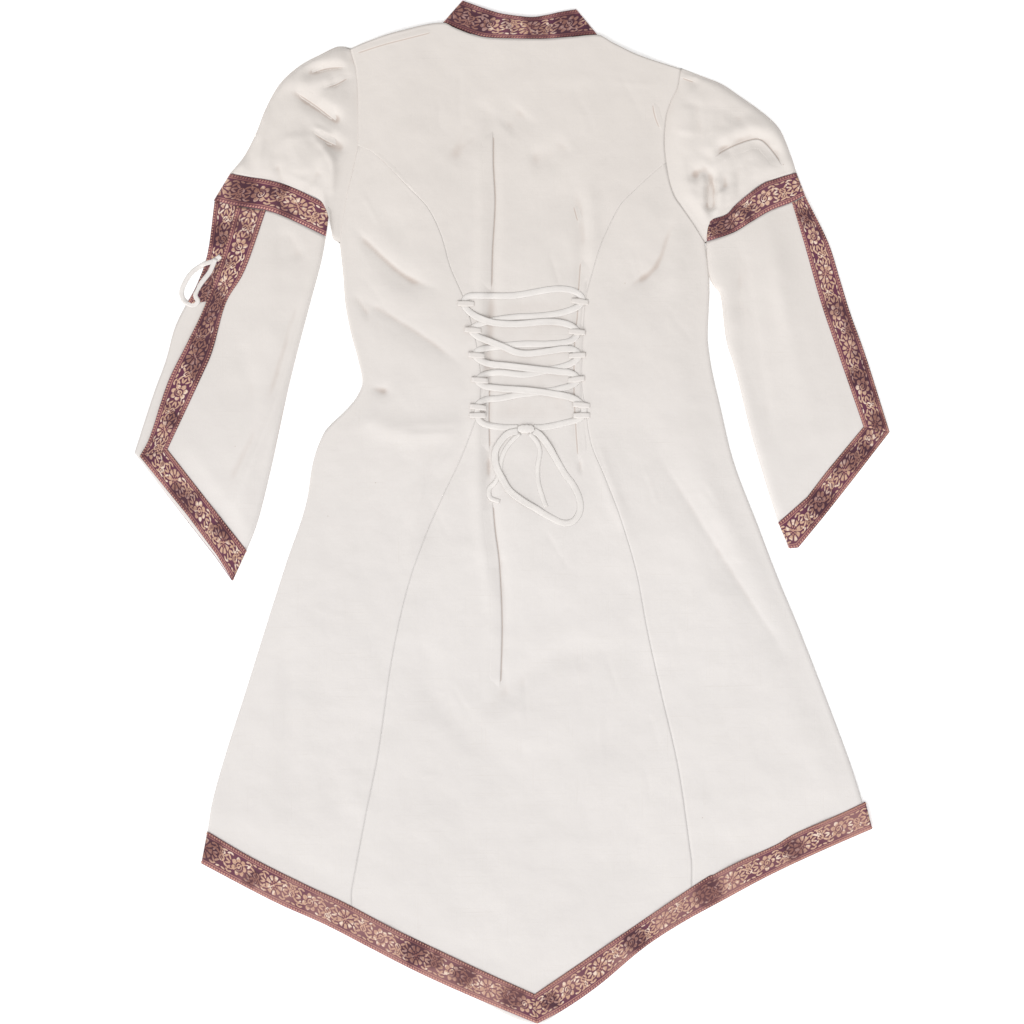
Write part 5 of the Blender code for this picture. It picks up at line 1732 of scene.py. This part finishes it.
class GOWN_OT_lacing(Operator):
    """Makes the lace, its loops, knot, bow and free ends, and the sleeve's tie"""

    bl_idname = "gown.lacing"
    bl_label = "Lacing"

    def execute(self, context):
        cloth = context.scene.gown_cloth
        cotton = finish_named("cream_cotton", cotton_finish, cloth)
        tape = finish_named("cotton_tape", tape_finish, cloth)
        panels = [
            bpy.data.objects[name]
            for name in ("gown_back_centre", "gown_back_side_left", "gown_back_side_right")
        ]
        ground = heights_of(panels)
        knot = place_on_body(make_knot(ground, tape), "tape", "lace_knot")
        lace, line = make_tape("lace_tape", LACE_ROUTE, TAPE_WIDTH, ground, tape)
        place_on_body(lace, "tape", "lace")
        make_loops(ground, heights_of(panels + [lace]), cotton)
        for name, route, width, end in (
            ("bow", BOW_ROUTE, TAPE_WIDTH, "knot"),
            ("end_left", LEFT_END_ROUTE, TIE_WIDTH, "bare"),
            ("end_right", RIGHT_END_ROUTE, TIE_WIDTH, "bare"),
        ):
            piece, line = make_tape("lace_%s_tape" % name, route, width, ground, tape)
            place_on_body(piece, "tape", "lace_" + name)
        sleeve = [
            bpy.data.objects[name]
            for name in ("sleeve_lower_left_cloth", "sleeve_ribbon_left_back", "sleeve_ribbon_left_front")
        ]
        ground = heights_of(sleeve)
        tie, line = make_tape("sleeve_tie_left_tape", SLEEVE_TIE_ROUTE, TIE_WIDTH, ground, tape)
        place_on_body(tie, "tape", "sleeve_tie_left")
        return {"FINISHED"}


class GOWN_OT_rungs(Operator):
    """Sets rungs of raised thread along the edges of the ribbons that lie over cloth"""

    bl_idname = "gown.rungs"
    bl_label = "Rungs of thread"

    def execute(self, context):
        ribbon = context.scene.gown_ribbon
        thread = plain_finish("pink_thread", tuple(ribbon.pink_color), 0.6)
        tree = rung_tree(thread)
        sizes = {"Pitch": ribbon.rung_pitch / MM, "Length": 1.5, "Width": 2.3, "Height": 0.5}
        piece = rungs_along("ribbon_rungs", rung_lines, tree, sizes)
        place_on_body(piece, "brocade")
        return {"FINISHED"}


class GOWN_OT_stage(Operator):
    """Makes the floor, the soft lights and the camera straight above"""

    bl_idname = "gown.stage"
    bl_label = "Stage"

    def execute(self, context):
        settings = context.scene.gown_stage
        scene = context.scene
        mesh = bpy.data.meshes.new("floor")
        corners = np.array([(-1, -1, 0), (1, -1, 0), (1, 1, 0), (-1, 1, 0)]) * FLOOR_REACH
        mesh.from_pydata(corners.tolist(), [], [(0, 1, 2, 3)])
        floor = linked("floor", mesh)
        floor.location.z = -FLOOR_DROP
        w = Weave("white_floor")
        w.put(w.shader.inputs["Base Color"], coloured(settings.floor_color))
        w.shader.inputs["Roughness"].default_value = 1.0
        w.shader.inputs["Emission Color"].default_value = (1, 1, 1, 1)
        w.shader.inputs["Emission Strength"].default_value = settings.floor_glow
        mesh.materials.append(w.material)
        world = bpy.data.worlds.new("even light")
        world.use_nodes = True
        world.node_tree.nodes["Background"].inputs["Color"].default_value = (1, 1, 1, 1)
        world.node_tree.nodes["Background"].inputs["Strength"].default_value = settings.fill_strength
        scene.world = world
        key = bpy.data.lights.new("key", "SUN")
        key.energy = settings.key_power
        key.angle = math.radians(settings.key_softness)
        lamp = linked("key", key)
        lamp.location = KEY_PLACE
        lamp.rotation_euler = (Vector((0, 0, 0)) - lamp.location).to_track_quat("-Z", "Y").to_euler()
        lens = bpy.data.cameras.new("photograph")
        lens.lens = settings.lens
        lens.sensor_width = SENSOR_WIDTH
        lens.clip_end = 50
        camera = linked("photograph", lens)
        camera.location = (0, 0, VIEW_WIDTH * MM * settings.lens / SENSOR_WIDTH)
        scene.camera = camera
        scene.view_settings.view_transform = "Standard"
        return {"FINISHED"}


class GOWN_PT_panel(Panel):
    """Lists the gown's settings and steps"""

    bl_idname = "GOWN_PT_panel"
    bl_label = "Medieval gown"
    bl_space_type = "VIEW_3D"
    bl_region_type = "UI"
    bl_category = "Gown"

    def draw(self, context):
        for group in (context.scene.gown_cloth, context.scene.gown_ribbon, context.scene.gown_stage):
            box = self.layout.box()
            for name in group.__annotations__:
                box.prop(group, name)
        for step in STEPS:
            self.layout.operator(step.bl_idname)


STEPS = (
    GOWN_OT_front, GOWN_OT_back, GOWN_OT_sleeves, GOWN_OT_ribbons, GOWN_OT_lacing, GOWN_OT_rungs,
    GOWN_OT_stage,
)
GROUPS = {
    "gown_cloth": GownClothSettings, "gown_ribbon": GownRibbonSettings, "gown_stage": GownStageSettings,
}


def register():
    for name, group in GROUPS.items():
        bpy.utils.register_class(group)
        setattr(bpy.types.Scene, name, PointerProperty(type=group))
    for step in STEPS + (GOWN_PT_panel,):
        bpy.utils.register_class(step)


def unregister():
    for step in (GOWN_PT_panel,) + STEPS[::-1]:
        bpy.utils.unregister_class(step)
    for name, group in GROUPS.items():
        delattr(bpy.types.Scene, name)
        bpy.utils.unregister_class(group)


def main():
    register()
    bpy.ops.gown.front()
    bpy.ops.gown.back()
    bpy.ops.gown.sleeves()
    bpy.ops.gown.ribbons()
    bpy.ops.gown.rungs()
    bpy.ops.gown.lacing()
    bpy.ops.gown.stage()


if __name__ == "__main__":
    main()
